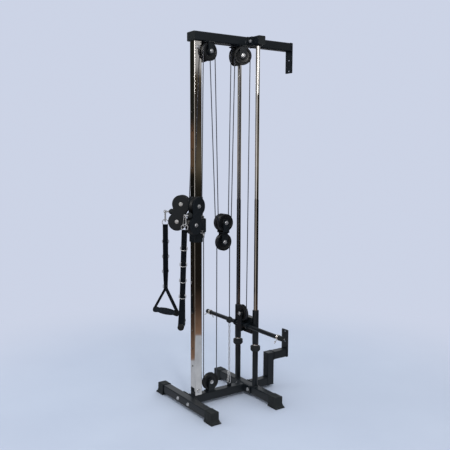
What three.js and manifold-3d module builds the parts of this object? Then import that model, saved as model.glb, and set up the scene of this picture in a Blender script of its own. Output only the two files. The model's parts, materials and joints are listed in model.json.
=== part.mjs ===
// A wall-braced cable station: one column with a height-adjustable twin-pulley trolley, two pull
// handles, a floating pulley block and a plate-loaded weight carriage on two guide rods.
// Millimetres. +Z is up, +Y points to the wall, +X is the user's right when facing the machine.
import * as THREE from 'three';
import { mergeVertices } from 'three/addons/utils/BufferGeometryUtils.js';
import Module from 'manifold-3d';

const wasm = await Module();
wasm.setup();

// ---------------------------------------------------------------- driving dimensions
const HEIGHT = 2150; // floor to the top of the beam
const TUBE = 50; // square frame tube, outside
const WALL = 3; // frame tube wall
const CORNER = 5; // frame tube corner radius
const PLATE = 6; // flanges and wall plates
const STRIP = 5; // pulley bracket strip
const GAP = 0.3; // between touching pieces
const GROUND_CLEARANCE = 14; // floor to the base tubes
const BASE_TOP = GROUND_CLEARANCE + TUBE;
const BEAM_LOW = HEIGHT - TUBE;

const FRONT_FOOT_Y = -67;
const REAR_Y = 367; // rear foot, guide rods and cross beam share this line
const FRONT_FOOT_HALF = 314; // half the foot's length on the floor, over its caps
const REAR_FOOT_HALF = 336;
const CAP = { length: 80, flare: 16, sideFlare: 6, top: 66.4, skin: 2, end: 5 };
const FLANGE_HALF = 80; // half width of the base beam's end flanges
const VENT = { y: 240, radius: 4 }; // drain hole under the base beam
const STUB = { size: 43, length: 45 }; // square spigots that locate the column's two ends
const FRAME_BOLT = { x: 57, radius: 5, hole: 6, head: 10, height: 7, sideHigh: 34, sideLow: 25 };

const TOP_BEAM_WIDTH = 80;
const TOP_BEAM_FRONT = -30;
const TOP_FLANGE_HALF = 75;
const CROSS_BEAM_HALF = 124;
const WALL_Y = 680; // the wall face
const WALL_PLATE_WIDTH = 60;
const TOP_WALL_PLATE_LOW = 1970;
const TOP_WALL_HOLES = [1983, 2048];
const LOW_WALL_PLATE_HIGH = 350;
const LOW_WALL_HOLES = [271, 337];
const LOW_ARM_Z = 174; // underside of the lower bracket's upper arm
const LOW_POST_Y = 518; // front of the lower bracket's upright
const WALL_HOLE_RADIUS = 5.5;

const HOLE_FIRST = 239.5; // lowest adjustment hole
const HOLE_PITCH = 105.2;
const HOLE_COUNT = 15;
const HOLE_RADIUS = 6;
const TROLLEY_HOLE = 8; // the hole that the trolley is set at

const ROD_RADIUS = 12.5;
const ROD_X = 90;
const BORE = ROD_RADIUS + 0.5;
const POST_RADIUS = 17;
const BUMPER = { low: 282, high: 317, radius: 30, neck: 20 };

const PULLEY = { radius: 52, groove: 42, half: 12, lip: 9, floor: 3.2, pitch: 46 };
const AXLE_RADIUS = 6;
const AXLE_HEAD = { radius: 10, height: 7 };
const CABLE_RADIUS = 2.8;
const STRIP_WIDTH = 42;
const HANGER = { half: 56, reach: 33, window: 25 }; // plate that joins a pair of top brackets

const FRONT_PULLEY = { x: 35.5, y: 66, z: 2046, toe: 11.9 }; // toed out to the front
const REAR_PULLEY = { x: 35, y: 297, z: 2041, toe: -19.7 }; // toed out to the rear
const BASE_PULLEY = { y: 97, z: 122 };
const BLOCK = { y: 190, upperZ: 1074, lowerZ: 958, upperX: 15, plateZ: 1013 };

const SLEEVE = { outer: 60, inner: 51, low: 975, high: 1232 };
const GUSSET = { half: 14, back: 60, low: 1018, high: 1115 }; // fin behind the sleeve
const CABLE_EYE = { y: PULLEY.pitch + 5, low: 992, radius: 8 };
const PIN = { radius: 5, bore: 5.6, boss: 14, bossFront: -44, knob: 15 };
const SWIVEL = { x: 68, y: -4, radius: 12, low: 1044.5, high: 1119.5, lug: 8, lugRadius: 13 };
const HEAD = { upper: { reach: 46, z: 1186 }, lower: { reach: 71, z: 1083 }, radius: 53, waist: 38 };
const HEAD_INSIDE = PULLEY.half + 2; // pulley plane to the inside of a head plate
const HEAD_PLATE = 4;
const BRIDGE = { low: 1055, high: 1110, front: -17, back: -4 }; // joins a head's two plates
const YAW = { left: 47, right: -18 }; // how far each head is turned from straight ahead, degrees

const CABLE_EXIT_Z = HEAD.upper.z - PULLEY.pitch;
const BALL = { reach: 107, radius: 17, eye: 10, eyeHole: 6, thick: 5 };
const HANG_REACH = 146; // swivel axis to the carabiner's pivot
const GRIP_ANGLE = { left: 20, right: -34 }; // grip axis from +X, degrees
const STRAP_ANGLE = { left: 55, right: 56 }; // strap width direction at its top, from +X, degrees
const LEAN = { left: 0, right: 2.9 }; // forward lean of a hanging handle, degrees
const STRAP = { width: 32, thick: 6, web: 3.4, top: -80, split: -458 };
const CARABINER = { width: 26, height: 68, wire: 5, thick: 6, corner: 12, z: -30.5 };
const TOP_RING = { width: 40, height: 40, wire: 4, thick: 5, corner: 12, z: -65 };
const GRIP = { half: 84, radius: 17, belly: 20, z: -598 };

const CARRIAGE = { low: 317.5, sleeveLow: 328, sleeveHigh: 537, sleeveRadius: 19, y: 330 };
const CARRIAGE_PULLEY_Z = 507;
const CROSS_BOX = { half: 74, front: 349, back: 385, low: 388, high: 487 };
const CARRIAGE_BRACKET_LOW = 400;
const BAR_LUG = { x: 62, half: 5, rise: 22, front: 311 };
const LOADING_BAR = { radius: 12.5, z: 438, half: 374, end: 388, capRadius: 14.5 };
const COLLAR = { x: 352, half: 12, radius: 18, wire: 2.5, drop: 26 };
const CHAIN = { y: 237, ballZ: 478, ballRadius: 20, low: 150, radius: 6 };
const SNAP_HOOK = { width: 30, height: 72, wire: 6, thick: 6, corner: 14 };
const ANCHOR = { half: 14, thick: 6, top: 84, hole: 7 };

// ---------------------------------------------------------------- solids
const X = new THREE.Vector3(1, 0, 0);
const Y = new THREE.Vector3(0, 1, 0);
const Z = new THREE.Vector3(0, 0, 1);

function solid(geometry) {
  const bare = new THREE.BufferGeometry();
  bare.setAttribute('position', geometry.getAttribute('position').clone());
  if (geometry.index) bare.setIndex(geometry.index);
  const merged = mergeVertices(bare, 1e-4);
  const index = merged.index.array;
  const kept = [];
  for (let i = 0; i < index.length; i += 3) {
    const [a, b, c] = [index[i], index[i + 1], index[i + 2]];
    if (a !== b && b !== c && c !== a) kept.push(a, b, c);
  }
  const vertProperties = new Float32Array(merged.getAttribute('position').array);
  return new wasm.Manifold(
    new wasm.Mesh({ numProp: 3, vertProperties, triVerts: new Uint32Array(kept) }));
}

function join(...solids) {
  return solids.reduce((all, next) => all.add(next));
}

function cut(body, ...tools) {
  return tools.reduce((rest, tool) => rest.subtract(tool), body);
}

function toGeometry(body) {
  const mesh = body.getMesh();
  const stride = mesh.numProp;
  const count = mesh.vertProperties.length / stride;
  const position = new Float32Array(count * 3);
  for (let i = 0; i < count; i += 1) {
    for (let k = 0; k < 3; k += 1) position[3 * i + k] = mesh.vertProperties[stride * i + k];
  }
  const geometry = new THREE.BufferGeometry();
  geometry.setAttribute('position', new THREE.BufferAttribute(position, 3));
  geometry.setIndex([...mesh.triVerts]);
  geometry.computeVertexNormals();
  return geometry;
}

function block([x0, x1], [y0, y1], [z0, z1]) {
  const box = new THREE.BoxGeometry(x1 - x0, y1 - y0, z1 - z0);
  return solid(box.translate((x0 + x1) / 2, (y0 + y1) / 2, (z0 + z1) / 2));
}

// A cylinder between two points.
function bar(from, to, radius, sides = 12) {
  const line = to.clone().sub(from);
  const cylinder = new THREE.CylinderGeometry(radius, radius, line.length(), sides);
  cylinder.applyQuaternion(new THREE.Quaternion().setFromUnitVectors(Y, line.clone().normalize()));
  const middle = from.clone().add(to).multiplyScalar(0.5);
  return solid(cylinder.translate(middle.x, middle.y, middle.z));
}

// A shape drawn in (second, third) coordinates and extruded along the first, with the axes in
// cyclic order: along X it is drawn in (Y, Z), along Y in (Z, X), along Z in (X, Y).
function extrude(shape, along, from, to, curveSegments = 3) {
  const depth = to - from;
  const geometry = new THREE.ExtrudeGeometry(shape, { depth, bevelEnabled: false, curveSegments });
  const bases = { x: [Y, Z, X], y: [Z, X, Y], z: [X, Y, Z] };
  geometry.translate(0, 0, from);
  geometry.applyMatrix4(new THREE.Matrix4().makeBasis(...bases[along]));
  return solid(geometry);
}

function roundedRectangle(a, b, width, height, radius) {
  const [x, y] = [width / 2 - radius, height / 2 - radius];
  const shape = new THREE.Shape();
  shape.absarc(a + x, b + y, radius, 0, Math.PI / 2);
  shape.absarc(a - x, b + y, radius, Math.PI / 2, Math.PI);
  shape.absarc(a - x, b - y, radius, Math.PI, 1.5 * Math.PI);
  shape.absarc(a + x, b - y, radius, 1.5 * Math.PI, 2 * Math.PI);
  return shape;
}

// A hollow rectangular tube, open at both ends; (a, b) is its centre in the shape's own axes.
function frameTube(along, a, b, from, to, width = TUBE, height = TUBE) {
  const shape = roundedRectangle(a, b, width, height, CORNER);
  shape.holes.push(
    roundedRectangle(a, b, width - 2 * WALL, height - 2 * WALL, CORNER - WALL));
  return extrude(shape, along, from, to, 1);
}

function polygon(points) {
  return new THREE.Shape(points.map(([x, y]) => new THREE.Vector2(x, y)));
}

// A turned piece about +Z; the profile is a closed list of [radius, height].
function turned(profile, sides = 14) {
  const points = [...profile, profile[0]].map(([r, h]) => new THREE.Vector2(r, h));
  return solid(new THREE.LatheGeometry(points, sides).rotateX(Math.PI / 2));
}

function ringAround(x, y, z0, z1, outer, inner, sides = 14) {
  return turned([[inner, z0], [outer, z0], [outer, z1], [inner, z1]], sides).translate(x, y, 0);
}

// Turns a solid about +Z by an angle in degrees.
function yawed(body, degrees) {
  return body.rotate(0, 0, degrees);
}

const at = (x, y, z) => new THREE.Vector3(x, y, z);

// ---------------------------------------------------------------- materials and pieces
function finish(color, roughness, metalness) {
  return new THREE.MeshStandardMaterial({ color, roughness, metalness });
}

const looks = {
  powder: () => finish(0x23282b, 0.45, 0.3),
  chrome: () => finish(0xcfd2d4, 0.08, 1),
  rubber: () => finish(0x2a2e2e, 0.8, 0),
  nylon: () => finish(0x15181a, 0.5, 0),
  zinc: () => finish(0xb9bdc0, 0.35, 1),
  webbing: () => finish(0x15191c, 0.9, 0),
  foam: () => finish(0x1c2022, 0.85, 0),
  cable: () => finish(0x5d6168, 0.5, 0.2),
};

const machine = new THREE.Group();

function piece(name, look, body, parent = machine) {
  const mesh = new THREE.Mesh(toGeometry(body), looks[look]());
  mesh.name = name;
  parent.add(mesh);
}

function group(parent, x, y, z, quaternion) {
  const child = new THREE.Group();
  child.position.set(x, y, z);
  if (quaternion) child.quaternion.copy(quaternion);
  parent.add(child);
  return child;
}

const radians = THREE.MathUtils.degToRad;

// ---------------------------------------------------------------- base
// Clearance holes for the two bolts that cross a flanged joint at y, 200 mm long.
function boltHoles(y, z) {
  return [-FRAME_BOLT.x, FRAME_BOLT.x].map((x) =>
    bar(at(x, y - 100, z), at(x, y + 100, z), FRAME_BOLT.hole, 6));
}

function sideHole(z) {
  return bar(at(-TUBE, 0, z), at(TUBE, 0, z), FRAME_BOLT.hole, 6);
}

// One rubber cap at the +X end of a foot: flared outwards at the floor, with a pocket for the tube.
function footCap(end, y, side) {
  const inner = end - CAP.length;
  const outerTop = end - CAP.flare;
  const flareTop = 26;
  const half = TUBE / 2 + CAP.skin;
  const along = polygon([
    [0, inner], [0, end], [5, end], [14, outerTop + 5], [flareTop, outerTop],
    [CAP.top - 3, outerTop], [CAP.top, outerTop - 4], [CAP.top, inner]]);
  const across = polygon([
    [-half - CAP.sideFlare, 0], [half + CAP.sideFlare, 0], [half + CAP.sideFlare, 5],
    [half + 2, 14], [half, flareTop], [half, CAP.top - 3], [half - 3, CAP.top],
    [3 - half, CAP.top], [-half, CAP.top - 3], [-half, flareTop], [-half - 2, 14],
    [-half - CAP.sideFlare, 5]]);
  const outside = extrude(along, 'y', -60, 60).intersect(extrude(across, 'x', inner, end));
  const pocket = TUBE / 2 + GAP;
  const cavity = block([inner - 1, outerTop - CAP.end], [-pocket, pocket],
    [GROUND_CLEARANCE - GAP, BASE_TOP + GAP]);
  const cap = cut(outside, cavity);
  return (side > 0 ? cap : yawed(cap, 180)).translate(0, y, 0);
}

const baseCentre = GROUND_CLEARANCE + TUBE / 2;

function foot(name, y, end) {
  const half = end - CAP.flare - CAP.end - GAP;
  piece(`${name}_foot`, 'powder',
    cut(frameTube('x', y, baseCentre, -half, half), ...boltHoles(y, baseCentre)));
  for (const [label, side] of [['left', -1], ['right', 1]]) {
    piece(`${name}_foot_cap_${label}`, 'rubber', footCap(end, y, side));
  }
}

foot('front', FRONT_FOOT_Y, FRONT_FOOT_HALF);
foot('rear', REAR_Y, REAR_FOOT_HALF);

const frontFootBack = FRONT_FOOT_Y + TUBE / 2;
const rearFront = REAR_Y - TUBE / 2;
const rearBack = REAR_Y + TUBE / 2;

function flange(half, y0, y1, z0) {
  return block([-half, half], [y0, y1], [z0, z0 + TUBE]);
}

// The tab that the snap hook hangs on to.
function anchorTab() {
  const { half, thick, top, hole } = ANCHOR;
  const tab = join(
    block([-thick / 2, thick / 2], [CHAIN.y - half, CHAIN.y + half], [BASE_TOP - 1, top]),
    bar(at(-thick / 2, CHAIN.y, top), at(thick / 2, CHAIN.y, top), half, 14));
  return cut(tab, bar(at(-thick, CHAIN.y, top), at(thick, CHAIN.y, top), hole, 10));
}

// The beam is closed by a flange at each end, so its tube has a vent hole underneath.
piece('base_beam', 'powder', cut(join(
  frameTube('y', baseCentre, 0, frontFootBack + PLATE - 1, rearFront - PLATE + 1),
  flange(FLANGE_HALF, frontFootBack + GAP, frontFootBack + PLATE, GROUND_CLEARANCE),
  flange(FLANGE_HALF, rearFront - PLATE, rearFront - GAP, GROUND_CLEARANCE),
  frameTube('z', 0, 0, BASE_TOP - 1, BASE_TOP + STUB.length, STUB.size, STUB.size),
  anchorTab()),
...boltHoles(frontFootBack, baseCentre), ...boltHoles(rearFront, baseCentre),
sideHole(BASE_TOP + FRAME_BOLT.sideLow),
bar(at(0, VENT.y, 0), at(0, VENT.y, GROUND_CLEARANCE + 2 * WALL), VENT.radius, 10)));

// ---------------------------------------------------------------- column and top beam
function upright() {
  const tube = frameTube('z', 0, 0, BASE_TOP + GAP, BEAM_LOW - GAP);
  const holes = Array.from({ length: HOLE_COUNT }, (_, i) => {
    const z = HOLE_FIRST + i * HOLE_PITCH;
    return bar(at(0, -TUBE, z), at(0, -TUBE / 2 + 2 * WALL, z), HOLE_RADIUS, 8);
  });
  return cut(tube, ...holes, sideHole(BASE_TOP + FRAME_BOLT.sideLow),
    sideHole(BEAM_LOW - FRAME_BOLT.sideHigh));
}

piece('upright', 'chrome', upright());

const beamCentre = HEIGHT - TUBE / 2;
piece('top_beam', 'powder', cut(join(
  frameTube('y', beamCentre, 0, TOP_BEAM_FRONT, rearFront - PLATE + 1, TUBE, TOP_BEAM_WIDTH),
  flange(TOP_FLANGE_HALF, rearFront - PLATE, rearFront - GAP, BEAM_LOW),
  frameTube('z', 0, 0, BEAM_LOW - STUB.length, BEAM_LOW + 1, STUB.size, STUB.size)),
...boltHoles(rearFront, beamCentre), sideHole(BEAM_LOW - FRAME_BOLT.sideHigh)));
piece('cross_beam', 'powder', cut(
  frameTube('x', REAR_Y, beamCentre, -CROSS_BEAM_HALF, CROSS_BEAM_HALF),
  ...boltHoles(REAR_Y, beamCentre)));

// A bolt with its head outside one end of a line and its nut outside the other.
function throughBolt(head, nut) {
  const { radius, head: size, height } = FRAME_BOLT;
  const along = nut.clone().sub(head).normalize();
  const from = (point, distance) => point.clone().addScaledVector(along, distance);
  return join(bar(from(head, -1), from(nut, 1), radius, 6),
    bar(from(head, -GAP - height), from(head, -GAP), size, 6),
    bar(from(nut, GAP), from(nut, GAP + height), size, 6));
}

for (const [label, z] of [
  ['lower', BASE_TOP + FRAME_BOLT.sideLow], ['upper', BEAM_LOW - FRAME_BOLT.sideHigh]]) {
  piece(`column_bolt_${label}`, 'zinc', throughBolt(at(TUBE / 2, 0, z), at(-TUBE / 2, 0, z)));
}

// ---------------------------------------------------------------- wall brackets
function wallPlate(low, high, holes) {
  const half = WALL_PLATE_WIDTH / 2;
  const plate = block([-half, half], [WALL_Y - PLATE, WALL_Y], [low, high]);
  return cut(plate, ...holes.map((z) =>
    bar(at(0, WALL_Y - 2 * PLATE, z), at(0, WALL_Y + PLATE, z), WALL_HOLE_RADIUS, 12)));
}

piece('top_wall_bracket', 'powder', join(
  frameTube('y', beamCentre, 0, rearBack + GAP, WALL_Y - PLATE + 1),
  wallPlate(TOP_WALL_PLATE_LOW, HEIGHT, TOP_WALL_HOLES)));

function lowerWallBracket() {
  const half = TUBE / 2;
  const inside = half - WALL;
  const front = rearBack + GAP;
  const back = LOW_POST_Y + TUBE;
  const armTop = LOW_ARM_Z + TUBE;
  const outer = join(
    block([-half, half], [front, back], [GROUND_CLEARANCE, BASE_TOP]),
    block([-half, half], [LOW_POST_Y, back], [GROUND_CLEARANCE, armTop]),
    block([-half, half], [LOW_POST_Y, WALL_Y - PLATE + 1], [LOW_ARM_Z, armTop]));
  const inner = join(
    block([-inside, inside], [front - 1, back - WALL], [GROUND_CLEARANCE + WALL, BASE_TOP - WALL]),
    block([-inside, inside], [LOW_POST_Y + WALL, back - WALL],
      [GROUND_CLEARANCE + WALL, armTop - WALL]),
    block([-inside, inside], [LOW_POST_Y + WALL, WALL_Y - PLATE - 1],
      [LOW_ARM_Z + WALL, armTop - WALL]));
  return join(cut(outer, inner), wallPlate(LOW_ARM_Z, LOW_WALL_PLATE_HIGH, LOW_WALL_HOLES));
}

piece('lower_wall_bracket', 'powder', lowerWallBracket());

// ---------------------------------------------------------------- guide rods and their stops
for (const [label, side] of [['left', -1], ['right', 1]]) {
  const x = side * ROD_X;
  piece(`guide_rod_${label}`, 'chrome',
    bar(at(x, REAR_Y, BASE_TOP + GAP), at(x, REAR_Y, BEAM_LOW - GAP), ROD_RADIUS, 14));
  piece(`post_${label}`, 'powder',
    ringAround(x, REAR_Y, BASE_TOP + GAP, BUMPER.low - GAP, POST_RADIUS, BORE));
  piece(`bumper_${label}`, 'rubber', turned([
    [BORE, BUMPER.low], [BUMPER.neck, BUMPER.low], [BUMPER.radius, BUMPER.low + 10],
    [BUMPER.radius, BUMPER.high - 2], [BUMPER.radius - 2, BUMPER.high], [BORE, BUMPER.high],
  ]).translate(x, REAR_Y, 0));
}

// ---------------------------------------------------------------- pulleys and their brackets
// A grooved wheel turning about +X, at the origin.
function wheel() {
  const { radius, groove, half, lip, floor } = PULLEY;
  const bore = AXLE_RADIUS + GAP;
  return turned([
    [bore, -half], [radius, -half], [radius, -lip], [groove, -floor],
    [groove, floor], [radius, lip], [radius, half], [bore, half]]).rotate(0, 90, 0);
}

function pulley(name, x, y, z, yaw = 0, parent = machine) {
  piece(name, 'nylon', yawed(wheel(), yaw).translate(x, y, z), parent);
}

// An axle along +X with a bolt head at its +X end and a nut at its -X end.
function axle(inside, thick) {
  const face = inside + thick;
  return join(
    bar(at(-face, 0, 0), at(face, 0, 0), AXLE_RADIUS, 8),
    bar(at(face - 1, 0, 0), at(face + AXLE_HEAD.height, 0, 0), AXLE_HEAD.radius, 6),
    bar(at(-face - AXLE_HEAD.height, 0, 0), at(1 - face, 0, 0), AXLE_HEAD.radius, 6));
}

// Two strips either side of a pulley at the origin, round past the axle and reaching to z = end.
function strips(end, inside = PULLEY.half + 1.5, thick = STRIP) {
  const half = STRIP_WIDTH / 2;
  const [low, high] = end > 0 ? [0, end] : [end, 0];
  const plate = (x) => join(
    block([x, x + thick], [-half, half], [low, high]),
    bar(at(x, 0, 0), at(x + thick, 0, 0), half, 14));
  return join(plate(inside), plate(-inside - thick), axle(inside, thick));
}

// A pair of toed brackets under the beam, joined by a plate with a window over each pulley.
function topHanger({ x, y, z, toe }) {
  const top = BEAM_LOW - GAP;
  const place = (body, side) => yawed(body, side * toe).translate(side * x, y, 0);
  const window = PULLEY.half + 1.5;
  const pair = [1, -1].map((side) => place(strips(top - z - 1).translate(0, 0, z), side));
  const windows = [1, -1].map((side) => place(
    block([-window, window], [-HANGER.window, HANGER.window], [top - 2 * PLATE, top + PLATE]),
    side));
  const plate = block([-HANGER.half, HANGER.half], [y - HANGER.reach, y + HANGER.reach],
    [top - PLATE, top]);
  return join(...pair, cut(plate, ...windows));
}

for (const [name, spot] of [['front', FRONT_PULLEY], ['rear', REAR_PULLEY]]) {
  piece(`${name}_pulley_hanger`, 'powder', topHanger(spot));
  for (const [label, side] of [['left', -1], ['right', 1]]) {
    pulley(`${name}_top_pulley_${label}`, side * spot.x, spot.y, spot.z, side * spot.toe);
  }
}

const basePlateTop = BASE_TOP + GAP + 4;
piece('base_pulley_bracket', 'powder', join(
  strips(BASE_TOP + GAP + 1 - BASE_PULLEY.z).translate(0, BASE_PULLEY.y, BASE_PULLEY.z),
  block([-22, 22], [BASE_PULLEY.y - 30, BASE_PULLEY.y + 30], [BASE_TOP + GAP, basePlateTop])));
pulley('base_pulley', 0, BASE_PULLEY.y, BASE_PULLEY.z);

// ---------------------------------------------------------------- floating block
const blockPlateTop = BLOCK.plateZ + PLATE;
const blockInside = BLOCK.upperX + PULLEY.half + 1.5;
piece('block_frame', 'powder', join(
  strips(blockPlateTop - 1 - BLOCK.upperZ, blockInside).translate(0, BLOCK.y, BLOCK.upperZ),
  bar(at(-2.5, BLOCK.y, BLOCK.upperZ), at(2.5, BLOCK.y, BLOCK.upperZ), AXLE_RADIUS + 3),
  block([-blockInside - STRIP, blockInside + STRIP],
    [BLOCK.y - STRIP_WIDTH / 2, BLOCK.y + STRIP_WIDTH / 2], [BLOCK.plateZ, blockPlateTop]),
  strips(BLOCK.plateZ + 1 - BLOCK.lowerZ).translate(0, BLOCK.y, BLOCK.lowerZ)));
pulley('block_pulley_left', -BLOCK.upperX, BLOCK.y, BLOCK.upperZ);
pulley('block_pulley_right', BLOCK.upperX, BLOCK.y, BLOCK.upperZ);
pulley('block_pulley_lower', 0, BLOCK.y, BLOCK.lowerZ);

// ---------------------------------------------------------------- trolley
const pinZ = HOLE_FIRST + TROLLEY_HOLE * HOLE_PITCH;

function swivelLugs(side) {
  const { x, y, lug, lugRadius, low, high } = SWIVEL;
  const wall = SLEEVE.outer / 2 - 1;
  const [x0, x1] = side > 0 ? [wall, x] : [-x, -wall];
  const plate = (z) => join(
    block([x0, x1], [y - lugRadius, y + lugRadius], [z, z + lug]),
    bar(at(side * x, y, z), at(side * x, y, z + lug), lugRadius, 14));
  const pin = bar(at(side * x, y, low - lug), at(side * x, y, high + lug), AXLE_RADIUS, 8);
  return join(plate(high + GAP), plate(low - GAP - lug), pin);
}

function trolley() {
  const { outer, inner, low, high } = SLEEVE;
  const shape = roundedRectangle(0, 0, outer, outer, 6);
  shape.holes.push(roundedRectangle(0, 0, inner, inner, 4));
  const sleeve = extrude(shape, 'z', low, high, 1);
  const wall = outer / 2 - 1;
  const gusset = block([-GUSSET.half, GUSSET.half], [wall, GUSSET.back], [GUSSET.low, GUSSET.high]);
  const cableEye = bar(at(0, CABLE_EYE.y, CABLE_EYE.low), at(0, CABLE_EYE.y, GUSSET.low + 1),
    CABLE_EYE.radius);
  const boss = bar(at(0, PIN.bossFront, pinZ), at(0, -wall, pinZ), PIN.boss);
  const body = join(sleeve, swivelLugs(-1), swivelLugs(1), gusset, cableEye, boss);
  return cut(body, bar(at(0, PIN.bossFront - 1, pinZ), at(0, 0, pinZ), PIN.bore, 12));
}

// The pull pin's nose ends just short of the column, so that the trolley can be slid.
function popPin() {
  const back = GAP - PIN.bossFront;
  const stem = bar(at(0, -back - 10, pinZ), at(0, -SLEEVE.inner / 2 - GAP, pinZ), PIN.radius);
  const knob = turned([[0, back], [9, back], [PIN.knob, back + 8], [PIN.knob, back + 24],
    [PIN.knob - 4, back + 29], [0, back + 29]]);
  return join(stem, knob.rotate(90, 0, 0).translate(0, 0, pinZ));
}

piece('trolley', 'powder', trolley());
piece('pop_pin', 'rubber', popPin());

// ---------------------------------------------------------------- swivel heads
// A head is drawn with its swivel axis on +Z through the origin, pointing along -Y.
function headFrame() {
  const { upper, lower, radius, waist } = HEAD;
  const inside = HEAD_INSIDE;
  const outside = inside + HEAD_PLATE;
  const lobes = (x) => [upper, lower].map(({ reach, z }) =>
    bar(at(x, -reach, z), at(x + HEAD_PLATE, -reach, z), radius, 24));
  const middle = (upper.reach + lower.reach) / 2;
  const bridge = [BRIDGE.low, BRIDGE.high];
  const plate = (x) => join(...lobes(x),
    block([x, x + HEAD_PLATE], [-middle - waist, 20 - middle], [lower.z, upper.z]),
    block([x, x + HEAD_PLATE], [-middle, BRIDGE.back], bridge));
  const knuckle = bar(at(0, 0, SWIVEL.low), at(0, 0, SWIVEL.high), SWIVEL.radius, 14);
  const body = join(plate(inside), plate(-outside), knuckle,
    block([-outside, outside], [BRIDGE.front, BRIDGE.back], bridge),
    axle(inside, HEAD_PLATE).translate(0, -upper.reach, upper.z),
    axle(inside, HEAD_PLATE).translate(0, -lower.reach, lower.z));
  return cut(body, bar(at(0, 0, SWIVEL.low - 1), at(0, 0, SWIVEL.high + 1), AXLE_RADIUS + 0.4));
}

function sphere(radius, x, y, z) {
  return solid(new THREE.SphereGeometry(radius, 12, 8).translate(x, y, z));
}

// A flat link: a round-cornered outline with its hole, extruded across its plane.
function link({ width, height, wire, thick, corner }, curveSegments = 2) {
  const shape = roundedRectangle(0, 0, width, height, corner);
  shape.holes.push(
    roundedRectangle(0, 0, width - 2 * wire, height - 2 * wire, corner - wire));
  return extrude(shape, 'x', -thick / 2, thick / 2, curveSegments);
}

// The stop ball on the cable's end and the eye that the carabiner hangs in.
function stopBall() {
  const { reach, radius, eye, eyeHole, thick } = BALL;
  const disc = (half, size, sides) => bar(
    at(-half, -HANG_REACH, CABLE_EXIT_Z), at(half, -HANG_REACH, CABLE_EXIT_Z), size, sides);
  const ring = cut(disc(thick / 2, eye, 14), disc(thick, eyeHole, 10));
  const neck = (eye - eyeHole) / 2 + eyeHole;
  return join(
    sphere(radius, 0, -reach, CABLE_EXIT_Z), ring,
    bar(at(0, -reach, CABLE_EXIT_Z), at(0, neck - HANG_REACH, CABLE_EXIT_Z), 4, 8));
}

// The strap's doubled upper part, turned gradually from its top direction to the grip's.
function strapTop(turn) {
  const height = STRAP.top - STRAP.split + 6;
  const geometry = new THREE.BoxGeometry(STRAP.thick, STRAP.width, height, 1, 1, 12);
  geometry.translate(0, 0, STRAP.top - height / 2);
  const position = geometry.getAttribute('position');
  const point = new THREE.Vector3();
  for (let i = 0; i < position.count; i += 1) {
    point.fromBufferAttribute(position, i);
    const share = THREE.MathUtils.clamp((point.z - STRAP.split) / (STRAP.top - STRAP.split), 0, 1);
    point.applyAxisAngle(Z, turn * share);
    position.setXYZ(i, point.x, point.y, point.z);
  }
  return solid(geometry);
}

// The two webs below the split; drawn in (grip axis, Z) and ending beside the grip's ends.
function strapWebs() {
  const { web, split, width, thick } = STRAP;
  const end = GRIP.half + GAP;
  const side = [[end + web, GRIP.z + 20], [end + web, GRIP.z - 10], [end, GRIP.z - 10],
    [end, GRIP.z + 18]];
  const mirrored = side.map(([t, z]) => [-t, z]).reverse();
  const shape = polygon([
    [thick / 2, split + 2], ...side, [0, split - 4], ...mirrored, [-thick / 2, split + 2]]
    .map(([t, z]) => [z, t]));
  return extrude(shape, 'y', -width / 2, width / 2);
}

// The ring that the strap's top end is sewn round; its lower bar is inside the strap.
function handleRing(turn) {
  const { width, height } = TOP_RING;
  const sewn = block([-width, width], [-width, width], [-height, 5 - height / 2]);
  return yawed(cut(link(TOP_RING), sewn), turn).translate(0, 0, TOP_RING.z);
}

function grip() {
  const { half, radius, belly, z } = GRIP;
  return turned([[0, -half], [radius - 2, -half], [radius, 4 - half], [belly, -half / 3],
    [belly, half / 3], [radius, half - 4], [radius - 2, half], [0, half]])
    .rotate(0, 90, 0).translate(0, 0, z);
}

for (const [label, side] of [['left', -1], ['right', 1]]) {
  const yaw = YAW[label];
  const turn = new THREE.Quaternion().setFromAxisAngle(Z, radians(-yaw));
  const head = group(machine, side * SWIVEL.x, SWIVEL.y, 0, turn);
  piece(`head_frame_${label}`, 'powder', headFrame(), head);
  pulley(`head_pulley_upper_${label}`, 0, -HEAD.upper.reach, HEAD.upper.z, 0, head);
  pulley(`head_pulley_lower_${label}`, 0, -HEAD.lower.reach, HEAD.lower.z, 0, head);
  piece(`stop_ball_${label}`, 'rubber', stopBall(), head);

  // The handle hangs from the eye: leaned about the head's own X, then turned about the vertical.
  const hang = group(head, 0, -HANG_REACH, CABLE_EXIT_Z,
    new THREE.Quaternion().setFromAxisAngle(X, -radians(LEAN[label])));
  piece(`carabiner_${label}`, 'zinc',
    yawed(link(CARABINER), 90).translate(0, 0, CARABINER.z), hang);
  const facing = (degrees) => new THREE.Quaternion().setFromAxisAngle(Z, radians(degrees + yaw));
  const strapGroup = group(hang, 0, 0, 0, facing(GRIP_ANGLE[label]));
  const topTurn = STRAP_ANGLE[label] - 90 - GRIP_ANGLE[label];
  piece(`handle_ring_${label}`, 'zinc', handleRing(topTurn), strapGroup);
  piece(`strap_${label}`, 'webbing', join(strapTop(radians(topTurn)), strapWebs()), strapGroup);
  piece(`grip_${label}`, 'foam', grip(), strapGroup);
}

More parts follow.
